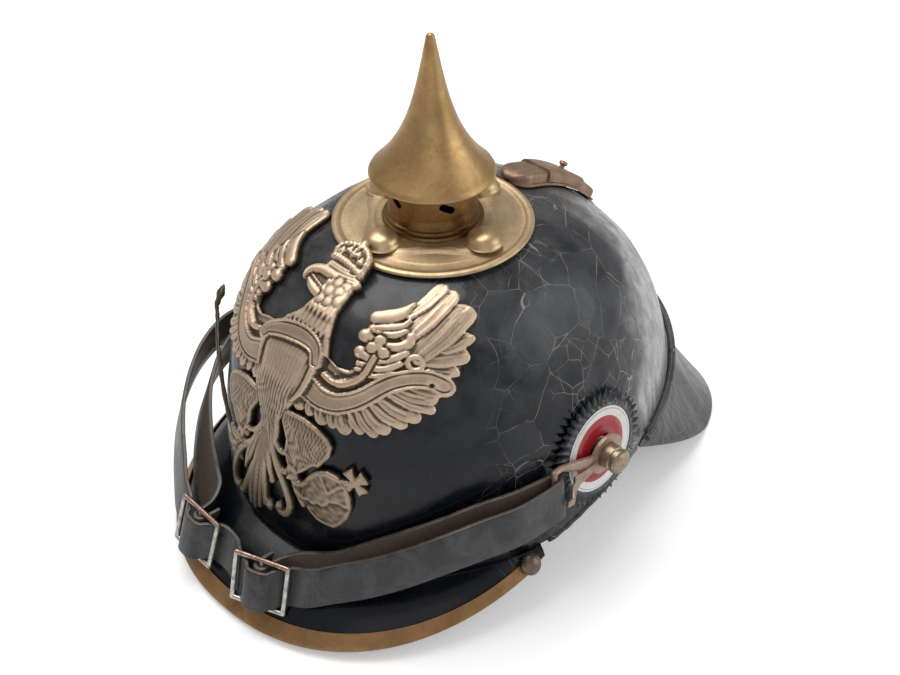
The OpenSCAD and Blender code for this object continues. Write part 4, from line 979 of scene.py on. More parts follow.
rise = np.where((hem_d < 1.5) & (rise > 0), rise + 0.9 * line(hem_d - 0.7, 1.1), rise)
spoke = np.sin(np.degrees(np.arctan2(half[:, 1] - 60, half[:, 0] - 27)) * 1.15)
rise = np.where(inside_of(half, [(18, 30.5), (30, 33), (33.5, 40), (31.5, 40), (28, 36.5), (18, 36)]) > 0,
                rise + 0.22 * spoke, rise)
stem_d, _, _ = along(half, flowing([(27.4, 33.5), (31, 35.8), (33.7, 39.2), (35.2, 43.5), (35.6, 50.5)], 5))
stamp(1.9 - stem_d, 1.6)
rod(half, [(20, 33.9), (23.2, 33.2), (27.4, 33.5), (31, 35.8), (33.7, 39.2), (35.2, 43.5), (35.6, 50.5)],
    1.15, 1.9, 1.1, flute=0.5)
clover = np.min([far(half, q) - 2.15 for q in ((34, 56.7), (32.8, 52.8), (37.5, 53.1))], axis=0)
clover = np.minimum(clover, far(half, (34.8, 54.2)) - 1.6)
stamp(0.75 - clover, 1.7)
stamp(-clover, 2.9 + 0.55 * np.clip(-clover / 0.6, 0, 1) ** 0.5)
ring = np.abs(far(half, (48.6, 55.2)) - 2.5)
stamp(1.1 - ring, 1.9 + 0.8 * dome(ring, 1.1))


def ribbon(p, path, r, base):
    """Scroll of sheet with a doubled rim and a hollow face, left plain."""
    d, t, side = along(p, flowing(path, 6))
    r = spread(r, t)
    e = r - d
    form = base + 0.06 * side / r + 0.75 * line(e - 0.45, 1.0) - 0.35 * line(e - 1.35, 0.8) + 0.2 * line(e - 2.0, 0.9)
    stamp(e, form)


ribbon(half, [(14.4, 26.2), (21.5, 24.4), (28.4, 25.6), (34, 29.4), (38.2, 34), (41.8, 39.6), (45.4, 44.6), (50, 49),
              (55, 51.9), (59.3, 52.2)], (5.3, 4.6, 4.0, 3.6, 3.5, 3.6, 3.9), 2.15)
hole = far(half, (56.5, 50.3))
rise = np.where(hole < 0.8, 0.5, rise)


def fringe(p, rows, pitch, deep):
    """Rows of pointed feathers: each row's border is a saw edge that stands proud of what lies below it and fades
    upwards, with a fine groove between its points. Rows are given by the heights of their borders, highest first."""
    high, above = np.zeros(len(p)), rows[0] + 6
    for k, row in enumerate(rows):
        notch = np.abs((p[:, 0] / pitch + 0.5 * (k % 2)) % 1 - 0.5) * 2
        edge = row - deep * (1 - notch)
        form = 0.6 * np.clip(1 - (p[:, 1] - edge) / (above - row), 0, 1) - 0.2 * np.clip(notch * 4 - 3, 0, 1)
        high = np.where((p[:, 1] > edge) & (p[:, 1] <= above) & (high == 0), form, high)
        above = row
    return high


# neck in two rows of pointed feathers, a breast of combed down that runs into the tail, and the face
neck = [(-5.2, 70.4), (11.8, 68.8), (12.6, 62), (12.9, 57.2), (14.8, 51.6), (16.8, 46), (19.4, 40.6), (-17, 36),
        (-12.4, 41.6), (-7, 47.4), (-3.4, 51.2), (-1.8, 54.2), (-0.8, 57.8), (0.4, 60), (-3, 66)]
mid = np.interp(flat[:, 1], [38, 50, 60, 70], [1, 5.2, 6.2, 4.0])
width = np.interp(flat[:, 1], [38, 50, 60, 70], [19, 10.5, 7.4, 9.0])
form = 2.3 + 1.5 * dome(flat[:, 0] - mid, width * 1.15) + fringe(flat, (55, 48.5), 2.5, 2.9) * (flat[:, 1] < 60)
stamp(inside_of(flat, neck), form)
fan = np.degrees(np.arctan2(flat[:, 0] + 4, flat[:, 1] + 45))
down = (0.20 * np.sin(fan * 4.3 + 1.3 * np.sin(flat[:, 1] * 0.42))
        + 0.12 * np.sin(fan * 9.1 + 1.1 * np.sin(flat[:, 1] * 0.8)))
breast = [(-15, 40), (-16, 37), (-15.5, 28), (-14.5, 19), (-12.4, 12.5), (-7.6, 6), (-3.6, -3), (0.6, -3), (5.2, 6),
          (8, 11.5), (12.4, 19), (14.8, 28), (15.8, 37), (14, 41)]
field = np.clip((flat[:, 1] - 20) / 5, 0, 1) * np.clip((12.5 - np.abs(flat[:, 0])) / 2, 0, 1)
depth = inside_of(flat, breast)
stamp(depth, 1.7 + 1.5 * np.clip(depth / 6, 0, 1) ** 0.6 + down * (1 - 0.8 * field) + 0.25 * field)
rod(flat, [(15.4, 38), (15.2, 33), (14.6, 28), (13.2, 22.6), (10.4, 17.6)], (1.6, 1.4, 1.3, 1.2, 0.7), 3.0, 0.9)
rod(flat, [(-14.8, 37), (-14.6, 30), (-13.4, 23)], (1.3, 1.2, 0.7), 2.8, 0.8)
for spot in ((8.9, 67.2), (4.4, 67.4), (0.0, 66.9), (7.8, 64.2), (3.4, 62.8), (10.2, 60.9), (6.2, 58.9), (2.2, 58.6),
             (-0.6, 61.4)):
    q = flat - spot
    d = np.maximum(np.hypot(*q.T), np.abs(q @ [0.7, 0.7]) + 0.35 * np.abs(q @ [0.7, -0.7]))
    stamp(2.45 - d, 3.3 + 0.75 * dome(d, 2.7))
stamp(inside_of(flat, [(-4.5, 70.5), (-12, 68.9), (-14.2, 65.8), (-13, 63.2), (-9.2, 60.3), (-4.4, 58.5), (-1, 58),
                       (-1, 69)]), 1.7)
rod(flat, [(-1.2, 60.2), (-5.4, 61.1), (-9.8, 63)], (2.0, 1.9, 0.8), 2.3, 1.3)
rod(flat, [(-1.6, 62.9), (-5.4, 63.9), (-9.6, 64.9)], (0.6, 0.5, 0.4), 2.9, 0.9)
rod(flat, [(1, 68.8), (-3, 68.9), (-7.4, 68.7), (-11, 67.3), (-12.7, 65), (-12.1, 62.4)],
    (1.9, 2.0, 2.0, 1.9, 1.5, 0.6), 2.9, 1.5)

# thighs with combed down, shanks and claws, then the orb with its worn bands, the cross and the rod's stump
thigh = [(6.3, 6.9), (7.3, 12.1), (11, 12.8), (17.5, 13.4), (24, 12.4), (29.4, 10.3), (31.9, 7.5), (31.6, 3),
         (27.7, -3.4), (25.1, -4.4), (21.3, -8.7), (18.5, -11.4), (15.2, -12.6), (11.6, -9.3), (9.9, -4.1),
         (10.1, 0.4)]
depth = inside_of(half, thigh)
fan = np.degrees(np.arctan2(half[:, 0] - 15.5, half[:, 1] + 34))
comb = (0.11 * np.sin(fan * 3.3 + 1.5 * np.sin(half[:, 1] * 0.55))
        + 0.09 * np.sin(fan * 7.7 + 1.2 * np.sin(half[:, 1] * 0.9))
        + 0.05 * np.sin(half[:, 0] * 2.9 + half[:, 1] * 1.7))
stamp(depth, 1.4 + 1.3 * np.clip(depth / 6, 0, 1) ** 0.6 + 0.5 * line(depth - 0.7, 1.1)
      + comb * np.clip(depth - 0.8, 0, 1))
orb = [(20.4, -17), (21.2, -12.4), (23.4, -8.6), (26.9, -4.9), (31.4, -2.6), (36.4, -2.5), (40, -5), (42.2, -9.4),
       (42.6, -14.6), (41.2, -19.4), (38.6, -23.4), (36, -26.4), (32, -27.2), (27.4, -27), (23.6, -24.6),
       (21.2, -21.2)]
depth = inside_of(flat, orb)
worn = (0.05 * np.sin(flat[:, 0] * 1.3 + 2 * np.sin(flat[:, 1] * 0.7))
        + 0.04 * np.sin(flat[:, 1] * 2.1 + 1.7 * np.sin(flat[:, 0] * 0.9)))
band_d, _, band_side = along(flat, [(21, -17.6), (23.4, -19.4), (26.8, -19.2), (29, -17.2), (31.4, -17.4), (34, -14),
                                    (38, -13), (43, -14)])
mast_d, _, _ = along(flat, [(28.1, -3.6), (30.4, -7.4), (33.3, -10.6), (37.6, -5.6), (40, -4.4)])
globe = 1.5 + 1.7 * np.clip(depth / 9, 0, 1) ** 0.6 + 0.35 * line(depth - 0.8, 1.0) + worn
stamp(depth, globe + 0.6 * line(band_d, 1.2) + 0.45 * line(mast_d, 1.0) + 0.5 * np.clip(band_side, 0, 1))
rod(half, [(15, -11), (16.8, -14.6), (18.6, -18.4), (21.4, -23.4)], (2.6, 2.3, 2.0, 1.2), 1.9, 1.1, flute=0.25)
for toe in ([(17.4, -15.2), (20.4, -14.4), (23, -12)], [(18.4, -18.4), (22, -19.4), (24.8, -18)],
            [(16.4, -13), (13.4, -15)]):
    rod(half, toe, (1.4, 1.2, 0.7), 2.3, 1.2)
cross_c, slant = np.array([42.8, -1.2]), np.radians(48)
q = (flat - cross_c) @ np.array([[np.cos(slant), -np.sin(slant)], [np.sin(slant), np.cos(slant)]])
for a, b in ((q[:, 0], q[:, 1]), (q[:, 1], q[:, 0])):
    depth = np.minimum(4.9 - np.abs(a), 0.8 + 0.36 * np.abs(a) - np.abs(b))
    stamp(depth, 2.4 + 0.5 * np.clip(depth, 0, 0.8) - 0.35 * line(b, 0.7) * (np.abs(a) > 1.5), over=False)
rod(flat, [(38.4, -6), (41.6, -2.4)], 1.3, 1.8, 0.6, over=False)

# tail: fluted strands fan out from the breast with the shell between them, and the outer ones curl into rings
strands = (([(-1.6, 4), (-4.6, -8), (-8.4, -20), (-12.6, -34), (-13.2, -40.4)], (1.0, 1.1, 1.4, 1.6, 1.3)),
           ([(-1.2, 2), (-3.4, -10), (-6.2, -22), (-9.0, -34), (-10.2, -41)], (1.0, 1.1, 1.3, 1.6, 1.3)),
           ([(-0.6, 2), (-2.0, -12), (-3.6, -24), (-5.4, -34), (-6.2, -38.6)], (1.0, 1.1, 1.3, 1.6, 1.3)),
           ([(0.0, 2), (-0.8, -12), (-1.7, -22), (-1.8, -30), (-1.6, -35)], (0.9, 1.0, 1.1, 1.5, 1.6)),
           ([(0.2, 0), (0.9, -10), (2.0, -17.6), (3.8, -21.6)], (1.0, 1.2, 1.6, 1.2)),
           ([(2.6, 9), (4.4, 2.4), (4.8, -1.6)], (1.6, 1.4, 1.1)),
           ([(1.2, 3), (3.8, -2.8), (6.8, -5.9), (9.4, -6.4)], (1.6, 1.5, 1.2, 1.1)),
           ([(0.6, 2), (2.2, -5.6), (4.7, -10.6), (8, -13.9), (11.2, -14.4), (12.5, -12.6)],
            (1.5, 1.7, 1.7, 1.5, 1.2, 0.9)),
           ([(4.4, -10.6), (7.2, -15.4), (10.6, -20), (13, -24.8), (13.7, -29.2), (12, -32.8), (8.7, -34.3),
             (6.2, -32.8)], (1.4, 1.6, 1.6, 1.7, 1.7, 1.6, 1.4, 1.2)),
           ([(-3.6, 1), (-7.8, -4.2), (-12, -6.4), (-15.2, -6.6), (-16.2, -8.8), (-14.2, -9.8)],
            (1.6, 1.4, 1.2, 1.1, 1.0, 0.8)),
           ([(-4.6, -3), (-10.2, -10.2), (-15, -13.2), (-18.8, -13.4), (-20.2, -16)], (1.6, 1.5, 1.2, 1.0, 0.8)),
           ([(-6.0, -5), (-9.6, -12), (-13, -19), (-15.8, -25.4)], (1.4, 2.4, 2.2, 0.6)),
           ([(-12, -12), (-19.4, -18.6), (-24.6, -26), (-27.6, -33), (-27.4, -38)], (1.5, 1.7, 1.7, 1.7, 1.6)),
           ([(-9.4, -20), (-13.6, -29), (-17.4, -35), (-20.2, -38.6)], (1.0, 1.5, 1.8, 1.7)))
for path, r in strands:
    rod(flat, path, r, 1.5, 1.3, over=False, flute=0.4 if max(r) > 1.5 else 0.15)
for spot, r in (((1.0, -34.6), 2.4), ((7.6, -31.4), 1.8), ((9.9, -5.8), 1.3), ((12.4, -12.6), 1.2),
                ((3.6, -21.8), 1.5), ((-24.8, -38), 2.0), ((-20.2, -38.4), 1.9), ((-14.4, -9.4), 1.3)):
    d = far(flat, spot)
    stamp(r - d, 1.9 + 1.2 * dome(d, r) - 0.5 * line(d - 0.55 * r, 0.5))

# breast ribbon over all, then the crown of band, pearls, leaves and arches
ribbon(flat, [(-15.2, 35.6), (-12.8, 38.7), (-6, 41.5), (2.2, 43.1), (9, 43), (13.4, 41), (15.5, 36.6)],
       (2.6, 3.4, 3.8, 4.0, 3.8, 3.2, 2.6), 3.7)
crown = [(-4.8, 71.6), (-9.1, 75.6), (-9.4, 79.2), (-5.5, 81.6), (-2.1, 82.7), (0.4, 83.4), (5.6, 82.1), (9.1, 80.2),
         (10.7, 76.7), (11.3, 70.6)]
stamp(inside_of(flat, crown), 2.9)
for path, r, pearls in (([(-8.2, 76), (-8.3, 78.8), (-4.8, 80.8), (-0.6, 81.8)], 1.1, 6),
                        ([(0.6, 82), (5.2, 80.8), (8.4, 78.8), (9.7, 75.6)], 1.1, 7),
                        ([(0.6, 77), (0.3, 82)], 1.0, 3), ([(-7.6, 74.5), (1.4, 74.3), (10.4, 73)], 1.25, 11)):
    d, t, _ = along(flat, flowing(path, 6))
    stamp(r - d, 3.6 + dome(d, r) * (0.3 + 0.7 * np.abs(np.sin(np.pi * pearls * t))))
for spot in ((-5.2, 77), (-2.2, 78.4), (3, 78.2), (6.2, 76.6)):
    for dx, dz in ((0, 0.9), (-0.8, -0.3), (0.8, -0.3)):
        d = far(flat, np.add(spot, [dx, dz]))
        stamp(0.85 - d, 3.5 + 0.8 * dome(d, 0.85), over=False)
d, _, side = along(flat, flowing([(-5.3, 71.2), (3.5, 70.9), (12, 69.8)], 6))
stamp(1.5 - d, 3.9 + 0.5 * np.cos(side * 4.2) ** 2)
d = far(flat, (0.2, 83))
stamp(1.5 - d, 3.9 + 0.9 * dome(d, 1.5))


def softened(h, n):
    """Mean over a square of 2n + 1 cells, by running sums along each side."""
    for axis in (0, 1):
        wide = np.pad(h, [(n + 1, n) if k == axis else (0, 0) for k in (0, 1)], mode="edge").cumsum(axis)
        over, under = (np.take(wide, np.arange(h.shape[axis]) + start, axis) for start in (2 * n + 1, 0))
        h = (over - under) / (2 * n + 1)
    return h


# the stamped sheet is a little softer than its drawing, and its hollows are kept as a value that the finish darkens:
# partly tarnish, partly painted shade in the recesses and under the lapping feathers
high = np.where(rise < 0, 0.3, rise).reshape(ga.shape)
soft = softened(high, 1) * 0.25 + high * 0.75
hollow = np.clip(0.70 + 1.7 * (soft - softened(soft, 4)) + 0.9 * (soft - softened(soft, 2)), 0, 1)
# painted shade: the value falls towards the plate's foot, so the thighs, orb and tail are darker
hollow *= np.interp(gb, [-25, 8, 30], [0.50, 0.62, 1.0])

# the contour's cells are drawn in to its line, and the drawing is laid on the shell behind it
border = outline.reshape(ga.shape)
gx, gy = np.gradient(border, cell)
steep = np.maximum(gx ** 2 + gy ** 2, 0.2)
inside = border < 0
keep = inside[:-1, :-1] | inside[1:, :-1] | inside[1:, 1:] | inside[:-1, 1:]
pull = np.where(inside, 0, np.minimum(border, cell * 1.5)) / steep
drawn = on_plane(ga - pull * gx, gb - pull * gy)


def in_depth(b, w):
    """Depth and height, y and z, of a place b up the leaning plane and w out of it."""
    return b * np.sin(eagle_lean) - w * np.cos(eagle_lean), b * np.cos(eagle_lean) + w * np.sin(eagle_lean)


def back_to_shell(ab):
    """Point of the shell behind each point of the leaning plane, by halving the depth at which the superellipsoid's
    own equation crosses one."""
    a, b = ab[..., 0], ab[..., 1]
    low, top = np.full(a.shape, -20.0), np.full(a.shape, 190.0)
    for _ in range(34):
        w = (low + top) / 2
        y, z = in_depth(b, w)
        s = share(z)
        plan = ((np.abs(a) / half_w) ** plan_n + (np.abs(y + crown_lead * s) / brow_r) ** plan_n) ** (1 / plan_n)
        out = plan ** brow_n + np.abs(s) ** 2 > 1
        low, top = np.where(out, low, w), np.where(out, w, top)
    return np.stack([a, *in_depth(b, low)], -1)


def facing_out(ground):
    """Outward normals of a grid of points on the shell's front."""
    n = unit(np.cross(np.gradient(ground, axis=0), np.gradient(ground, axis=1)))
    return n * np.sign((n @ np.array([0, -1.0, 0.4]))[..., None])


ground = back_to_shell(drawn)
out_n = facing_out(ground)
over_plate = 2.6 * np.clip((drawn[..., 1] - 70) / 8, 0, 1) * np.clip(1.5 - np.abs(drawn[..., 0] - 1.5) / 14, 0, 1)
eagle_gap, eagle_sheet = 0.45, 0.7
front = ground + out_n * (eagle_gap + eagle_sheet + soft + over_plate)[..., None]
rear = ground + out_n * (eagle_gap + over_plate + np.clip(soft - 1.6, 0, 3) * 0.6)[..., None]

# the kept cells make the front and, turned over, the back, and a skirt closes the sides that one cell alone has
used = np.zeros(ga.shape, bool)
for di in (0, 1):
    for dj in (0, 1):
        used[di:keep.shape[0] + di, dj:keep.shape[1] + dj] |= keep
count = used.sum()
index = np.full(ga.shape, -1)
index[used] = np.arange(count)
ci, cj = np.nonzero(keep)
quad = np.stack([index[ci, cj], index[ci + 1, cj], index[ci + 1, cj + 1], index[ci, cj + 1]], -1)
sides = np.concatenate([quad[:, [k, (k + 1) % 4]] for k in range(4)])
same = np.sort(sides, 1) @ [count, 1]
_, first, uses = np.unique(same, return_index=True, return_counts=True)
rim = sides[first[uses == 1]]
skirt = np.stack([rim[:, 0], rim[:, 0] + count, rim[:, 1] + count, rim[:, 1]], -1)
eagle_faces = np.vstack([quad, quad[:, ::-1] + count, skirt])
eagle_brass = brass_finish("stamped_brass", (0.68, 0.515, 0.375), (0.47, 0.355, 0.25), rough=0.46, stain=0.35,
                           metal=0.8, shade_and_grime="hollow")
eagle = made("eagle_stamping", np.vstack([front[used], rear[used]]), eagle_faces, "helmet", eagle_brass,
             ["eagle_plate"], sharp=None)
shade = eagle.data.attributes.new("hollow", "FLOAT", "POINT")
# the back, which lies on the shell, takes the lowest value and so the darkest colour: painted shade
shade.data.foreach_set("value", np.concatenate([hollow[used], 0 * hollow[used]]).astype(np.float32))


# Sceptre
# The rod in the eagle's other claw stands clear of the shell, which curves away behind it, and ends in a knop
# and a short finial.
staff_ab = flowing([(-19, -24), (-30, -12), (-42, 4), (-53, 17), (-59.5, 26), (-61.5, 32), (-62, 39)], 8)
k = np.linspace(0, 1, len(staff_ab))
core = np.array([0, 0, 60])
foot = back_to_shell(staff_ab)
staff = foot + unit(foot - core) * (2.2 + 8.5 * np.clip(k * 1.3, 0, 1) ** 1.5)[:, None]
girth = (1.35 + 0.35 * np.sin(k * 40) ** 2 + 1.6 * np.exp(-((k - 0.9) / 0.05) ** 2)
         + 0.9 * np.exp(-((k - 0.80) / 0.02) ** 2) - 0.8 * (k > 0.96))
way = unit(np.gradient(staff, axis=0))
side_n = unit(np.cross(way, unit(staff - core)))
loft("eagle_sceptre", rolled(staff, side_n, np.cross(side_n, way), girth[:, None, None] * oval(12, 1, 0.62)), "helmet",
     eagle_brass, (), sharp=None)


# Cockades
# Stamped discs under the strap lugs, painted alike on both sides: black pleats round a white ring and a red
# middle. The pleats are pinched to points, and the paint has chipped at their crests.
post_y, post_z, cockade_r, pleats, post_d = 4.0, 63.0, 29.0, 44, 12.0
post_u = np.degrees(np.arcsin(((post_y + crown_lead * share(post_z)) / nape_r) ** (plan_n / 2)))
post_x = shell_pt(post_u, share(post_z))[0]
post_lean = np.pi / 2 - np.arccos(shell_n(post_u, share(post_z))[2])


def on_cockade(x, p):
    """Points of a flat disc, its z along the outward normal, stood on the shell on side x."""
    tilt = x * (np.pi / 2 - post_lean)
    c, s = np.cos(tilt), np.sin(tilt)
    high = p[..., 2] + seat + flats
    stood = np.stack([p[..., 0] * c + high * s, p[..., 1], high * c - p[..., 0] * s], -1)
    return stood + [x * post_x, post_y, post_z]


def cockade_paint():
    """Enamel in rings by distance from the middle: red, white, then black, with chips to the metal."""
    f = Finish("cockade_enamel", rough=0.32, Coat_Weight=0.3, Coat_Roughness=0.15)
    r, a = f.uv()
    red_end, line_start, line_end, white_end = 0.555, 0.665, 0.685, 0.715
    chip = f.rising(f.noise(2.6, 6, 0.7, 0.8), 0.56, 0.61)
    ray = f.times(f.math("SINE", f.times(a, 2 * np.pi * 120)), 0.5, 0.5)
    red = f.mix(ray, (0.30, 0.006, 0.014), (0.50, 0.02, 0.03))
    dull = f.mix(f.noise(4, 4), (0.68, 0.67, 0.63), (0.92, 0.92, 0.89))
    dark = f.mix(f.noise(3, 5), (0.008, 0.010, 0.014), (0.034, 0.040, 0.047))
    colour = f.mix(f.math("GREATER_THAN", r, red_end), red, dull)
    colour = f.mix(f.times(f.math("GREATER_THAN", r, line_start), 0.6), colour, (0.20, 0.20, 0.19))
    colour = f.mix(f.math("GREATER_THAN", r, line_end), colour, dull)
    colour = f.mix(f.math("GREATER_THAN", r, white_end), colour, dark)
    crest = f.times(chip, f.times(f.math("GREATER_THAN", r, white_end), 0.8, 0.2))
    f.set(Base_Color=f.mix(f.times(crest, 0.4), colour, (0.42, 0.41, 0.38)))
    f.set(Roughness=f.times(f.noise(3, 4), 0.3, 0.2))
    f.set(Normal=f.bump(f.noise(1.4, 3), 0.05))
    return f


enamel = cockade_paint()
teeth = pleats * 8
ang = np.arange(teeth) * 2 * np.pi / teeth
wave = np.abs((np.arange(teeth) / 8 % 1) * 2 - 1)
# the disc's face, ring by ring: its height from the middle outwards, waved by the pleats and by a sunburst
radii = np.array([7.2, 7.6, 8.6, 10, 11.5, 13, 14.4, 15.6, 16.2, 17, 18.2, 19.4, 20.2, 20.9, 21.4, 22.5, 24, 25.5, 27,
                  28.2, 29])
level = np.interp(radii, [7.2, 7.6, 8.6, 10, 14.4, 16.0, 17.4, 19.6, 20.6, 21.4, 29],
                  [1.6, 2.6, 2.6, 1.9, 2.2, 1.5, 1.75, 1.95, 1.5, 2.1, -0.1])
pleated = np.clip((radii - 20.8) / 4, 0, 1)
high_z = (level[:, None] + pleated[:, None] * (wave - 0.5) * 1.1
          + ((radii > 10) & (radii < 16))[:, None] * 0.07 * np.cos(ang * 120))
point_r = radii[:, None] - np.clip((radii[:, None] - 22) / 7, 0, 1) ** 1.3 * (1 - wave) ** 0.8 * 4.6
face = np.stack([point_r * np.cos(ang), point_r * np.sin(ang), high_z], -1)
back = face - [0, 0, 0.5]
back[..., 2] = np.maximum(back[..., 2], -0.8)
face[..., 2] = np.maximum(face[..., 2], back[..., 2] + 0.4)
disc = np.concatenate([face, back[::-1]]).transpose(1, 0, 2)
rings = np.concatenate([radii, radii[::-1]]) / cockade_r
paint_map = np.stack(np.broadcast_arrays(rings[None], (ang / 2 / np.pi)[:, None]), -1).reshape(-1, 2)
for x, name in both_sides:
    loft(f"cockade_disc_{name}", on_cockade(x, disc), "helmet", enamel, [f"cockade_{name}"], loop=True,
         sharp=40, uv=paint_map)


# Chin strap
# One length of harness leather runs from a buckle back to each lug, round the lug's bar and forward again
# across the front. It is blackened and polished outside, brown and hairy inside, with bare brown edges.
strap_w, strap_t, bar_y, bar_d, strap_z, wire_d = 19.0, 2.0, -28.5, 3.0, 58.0, 2.4
lug_r = post_d / 2 + 4
lug_x = 2.6 + seat + flats + lug_r * np.sin(post_lean) + 0.4
bar_x = post_x + lug_x + 1.6 / 2 - 0.6
fold_r, eye_r, buckle_len, buckle_lean = bar_d / 2 + 0.35 + strap_t / 2, wire_d / 2 + 0.35 + strap_t / 2, 26.0, 20.0
buckle_l, buckle_r, turn_l, turn_r = (16.6, -132, 23), (-28.5, -132, 23), 20.0, -3.0


def heading(x, y):
    """Direction of a place from the middle in degrees, 0 in front and growing to the left."""
    return np.degrees(np.arctan2(x, -y))


def facing(points):
    """Points of the strap's way, each with its lean, given the heading at which it faces straight outwards."""
    return [[*p, heading(p[0], p[1])] for p in points]


def bulge(p, turn):
    """The strap's way through a buckle: behind its sides and out over the eye on its middle bar."""
    run, high, behind = buckle_len / 2 + 0.3, eye_r + strap_t + 0.6, wire_d / 2 + strap_t / 2 + 1.4
    c, s = np.cos(np.radians(turn)), np.sin(np.radians(turn))
    return [[p[0] + a * c - b * s, p[1] + a * s + b * c, p[2], buckle_lean, turn]
            for a, b in ((run, behind), (run * 0.56, -high * 0.2), (run * 0.34, -high * 0.85), (0, -high),
                         (-run * 0.34, -high * 0.85), (-run * 0.56, -high * 0.2), (-run, behind))]


def fold(p, z, r, start, sweep, lean, head):
    """The strap's way round a bar at p: an arc of radius r from the angle start through sweep, in degrees."""
    return [[p[0] + r * np.cos(np.radians(start + sweep * k / 4)), p[1] + r * np.sin(np.radians(start + sweep * k / 4)),
             z, lean, head] for k in range(5)]


bar_h = heading(bar_x, bar_y)
left_in = [[19.8, -124.5, 24, 28], [24.5, -118.7, 25.5, 40], [31.4, -114.4, 27, 42], [40.7, -109, 30.5, 35],
           [52.4, -100.2, 38.5, 28], [63, -91, 45.5, 22], [74, -78, 52, 16], [83, -62.5, 57, 12], [90, -47, 58.5, 10]]
left_out = [[99, -37, 57.5, 10], [97, -51, 57, 12], [90.5, -68, 56, 14], [82, -83, 52, 14], [71, -96, 45, 16],
            [59, -105.5, 37.5, 18], [46, -114, 30.5, 20], [37, -120.5, 26, 20]]
right_out = [[-50, -124, 26, 20], [-59, -117.5, 31, 20], [-70, -109, 37, 18], [-81, -98.5, 43.5, 16],
             [-90, -86, 50, 14], [-97, -72, 55, 12], [-101, -56, 58, 10], [-101, -40, 58, 10]]
right_in = [[-92, -45, 58.5, 10], [-89, -60, 57, 12], [-83, -75, 54, 16], [-74, -88.5, 48.5, 22],
            [-63, -99.5, 42, 28], [-53, -107.5, 35.5, 34], [-44, -113.5, 30, 40], [-37.5, -117.5, 27, 40],
            [-32.5, -124, 24, 28]]
course = (facing([[14, -125.5, 24, 28]]) + fold(buckle_l, 23, eye_r, 175 + turn_l, 190, buckle_lean, turn_l)
          + facing(left_in) + fold((bar_x, bar_y), strap_z, fold_r, 180, -180, 10, bar_h) + facing(left_out)
          + bulge(buckle_l, turn_l) + facing([[-5.5, -129.5, 22.5, buckle_lean]]) + bulge(buckle_r, turn_r)
          + facing(right_out) + fold((-bar_x, bar_y), strap_z, fold_r, 180, -180, 10, -bar_h) + facing(right_in)
          + fold(buckle_r, 23, eye_r, 175 + turn_r, 190, buckle_lean, turn_r) + facing([[-25.5, -125.5, 24, 28]]))
strap_way = flowing(course, 7)
tangent = unit(np.gradient(strap_way[:, :3], axis=0) * [1, 1, 0])
across = np.stack([-tangent[:, 1], tangent[:, 0], 0 * tangent[:, 0]], -1)
hd, ln = np.radians(strap_way[:, 4]), np.radians(strap_way[:, 3])
upward = np.stack([-np.sin(hd) * np.sin(ln), np.cos(hd) * np.sin(ln), np.cos(ln)], -1)
corners = [(-1, -3), (1, -3), (1, -1), (1, 1), (1, 3), (-1, 3), (-1, 1), (-1, -1)]
strap_ring = rounded([[x * strap_t / 2, z * strap_w / 6] for x, z in corners], 4, 0.6)


def strap_leather():
    """Polished black on one face, brown nap on the other, bare edges, cross creases where it has been bent."""
    f = Finish("harness_leather", rough=0.35, Coat_Weight=0.2, Coat_Roughness=0.2)
    side = f.uv()[1]
    edge = f.ramp(side, (0.05, 0.0), (0.07, 1.0), (0.18, 1.0), (0.21, 0.0), (0.54, 0.0), (0.57, 1.0), (0.68, 1.0),
                  (0.70, 0.0))
    flesh = f.ramp(side, (0.06, 1.0), (0.09, 0.0), (0.66, 0.0), (0.69, 1.0))
    cloud = f.rising(f.noise(14, 6, 0.65, 0.5), 0.4, 0.68)
    black = f.mix(f.times(cloud, 0.7), (0.011, 0.011, 0.012), (0.085, 0.086, 0.09))
    brown = f.mix(f.noise(2.2, 6, 0.7), (0.030, 0.022, 0.018), (0.105, 0.075, 0.056))
    colour = f.mix(flesh, black, brown)
    colour = f.mix(f.times(edge, f.ramp(f.noise(6, 5, 0.6), (0.35, 0.15), (0.6, 0.85))), colour, (0.13, 0.092, 0.066))
    f.set(Base_Color=colour)
    f.set(Roughness=f.mix(flesh, f.ramp(cloud, (0.0, 0.24), (1.0, 0.46)), (0.8, 0.8, 0.8)))
    creases = f.noise(1000, 6, 0.65, 0.0, f.on_map(0.55, 3.0))
    f.set(Normal=f.bump(creases, 0.35, f.bump(f.noise(1.0, 3, 0.6), 0.09)))
    return f


strap = rolled(strap_way[:, :3], across, upward, strap_ring)
loft("strap_leather", strap, "chinstrap", strap_leather(), ["chin_strap"], sharp=50)


# Lug forks
# In front of its eye each lug ends in a bracket that widens over its arm, and a prong hooks from it over the
# strap's lower half. Both turn with the strap.
fork_x = post_x + lug_x + 1.9
fork = [((-7, -1.5, 0), (-13, -2.2, 0), (-18, -2.4, 0), (-22.5, -2.2, 0)),
        ((-19.5, -3, 0), (-22.4, -5, 0.5), (-24.6, -6.4, 2.0), (-27.2, -7.2, 3.9), (-29.6, -7.2, 4.0),
         (-30.8, -6.9, 3.7))]
fork_wide = ((3.2, 6.0), (4.4, 1.9))
bar = rounded([[-1, -0.6], [1, -0.6], [1, 0.6], [-1, 0.6]], 4, 0.45)
lug_copper = copper_finish("lug_copper", (0.52, 0.36, 0.285), (0.34, 0.225, 0.175), rough=0.4)
for x, name in both_sides:
    for k, (path, wide) in enumerate(zip(fork, fork_wide)):
        way = flowing([(x * (fork_x + out), post_y + dy, post_z + dz) for dy, dz, out in path], 6)
        run = unit(np.gradient(way, axis=0))
        side_n = unit(np.cross(run, [x, 0, 0.001]))
        widening = np.stack([np.linspace(*wide, len(way)) / 1.6, np.ones(len(way))], -1)[:, None]
        loft(f"lug_fork_{name}_{k + 1}", rolled(way, side_n, np.cross(side_n, run), bar * widening), "chinstrap",
             lug_copper, ())


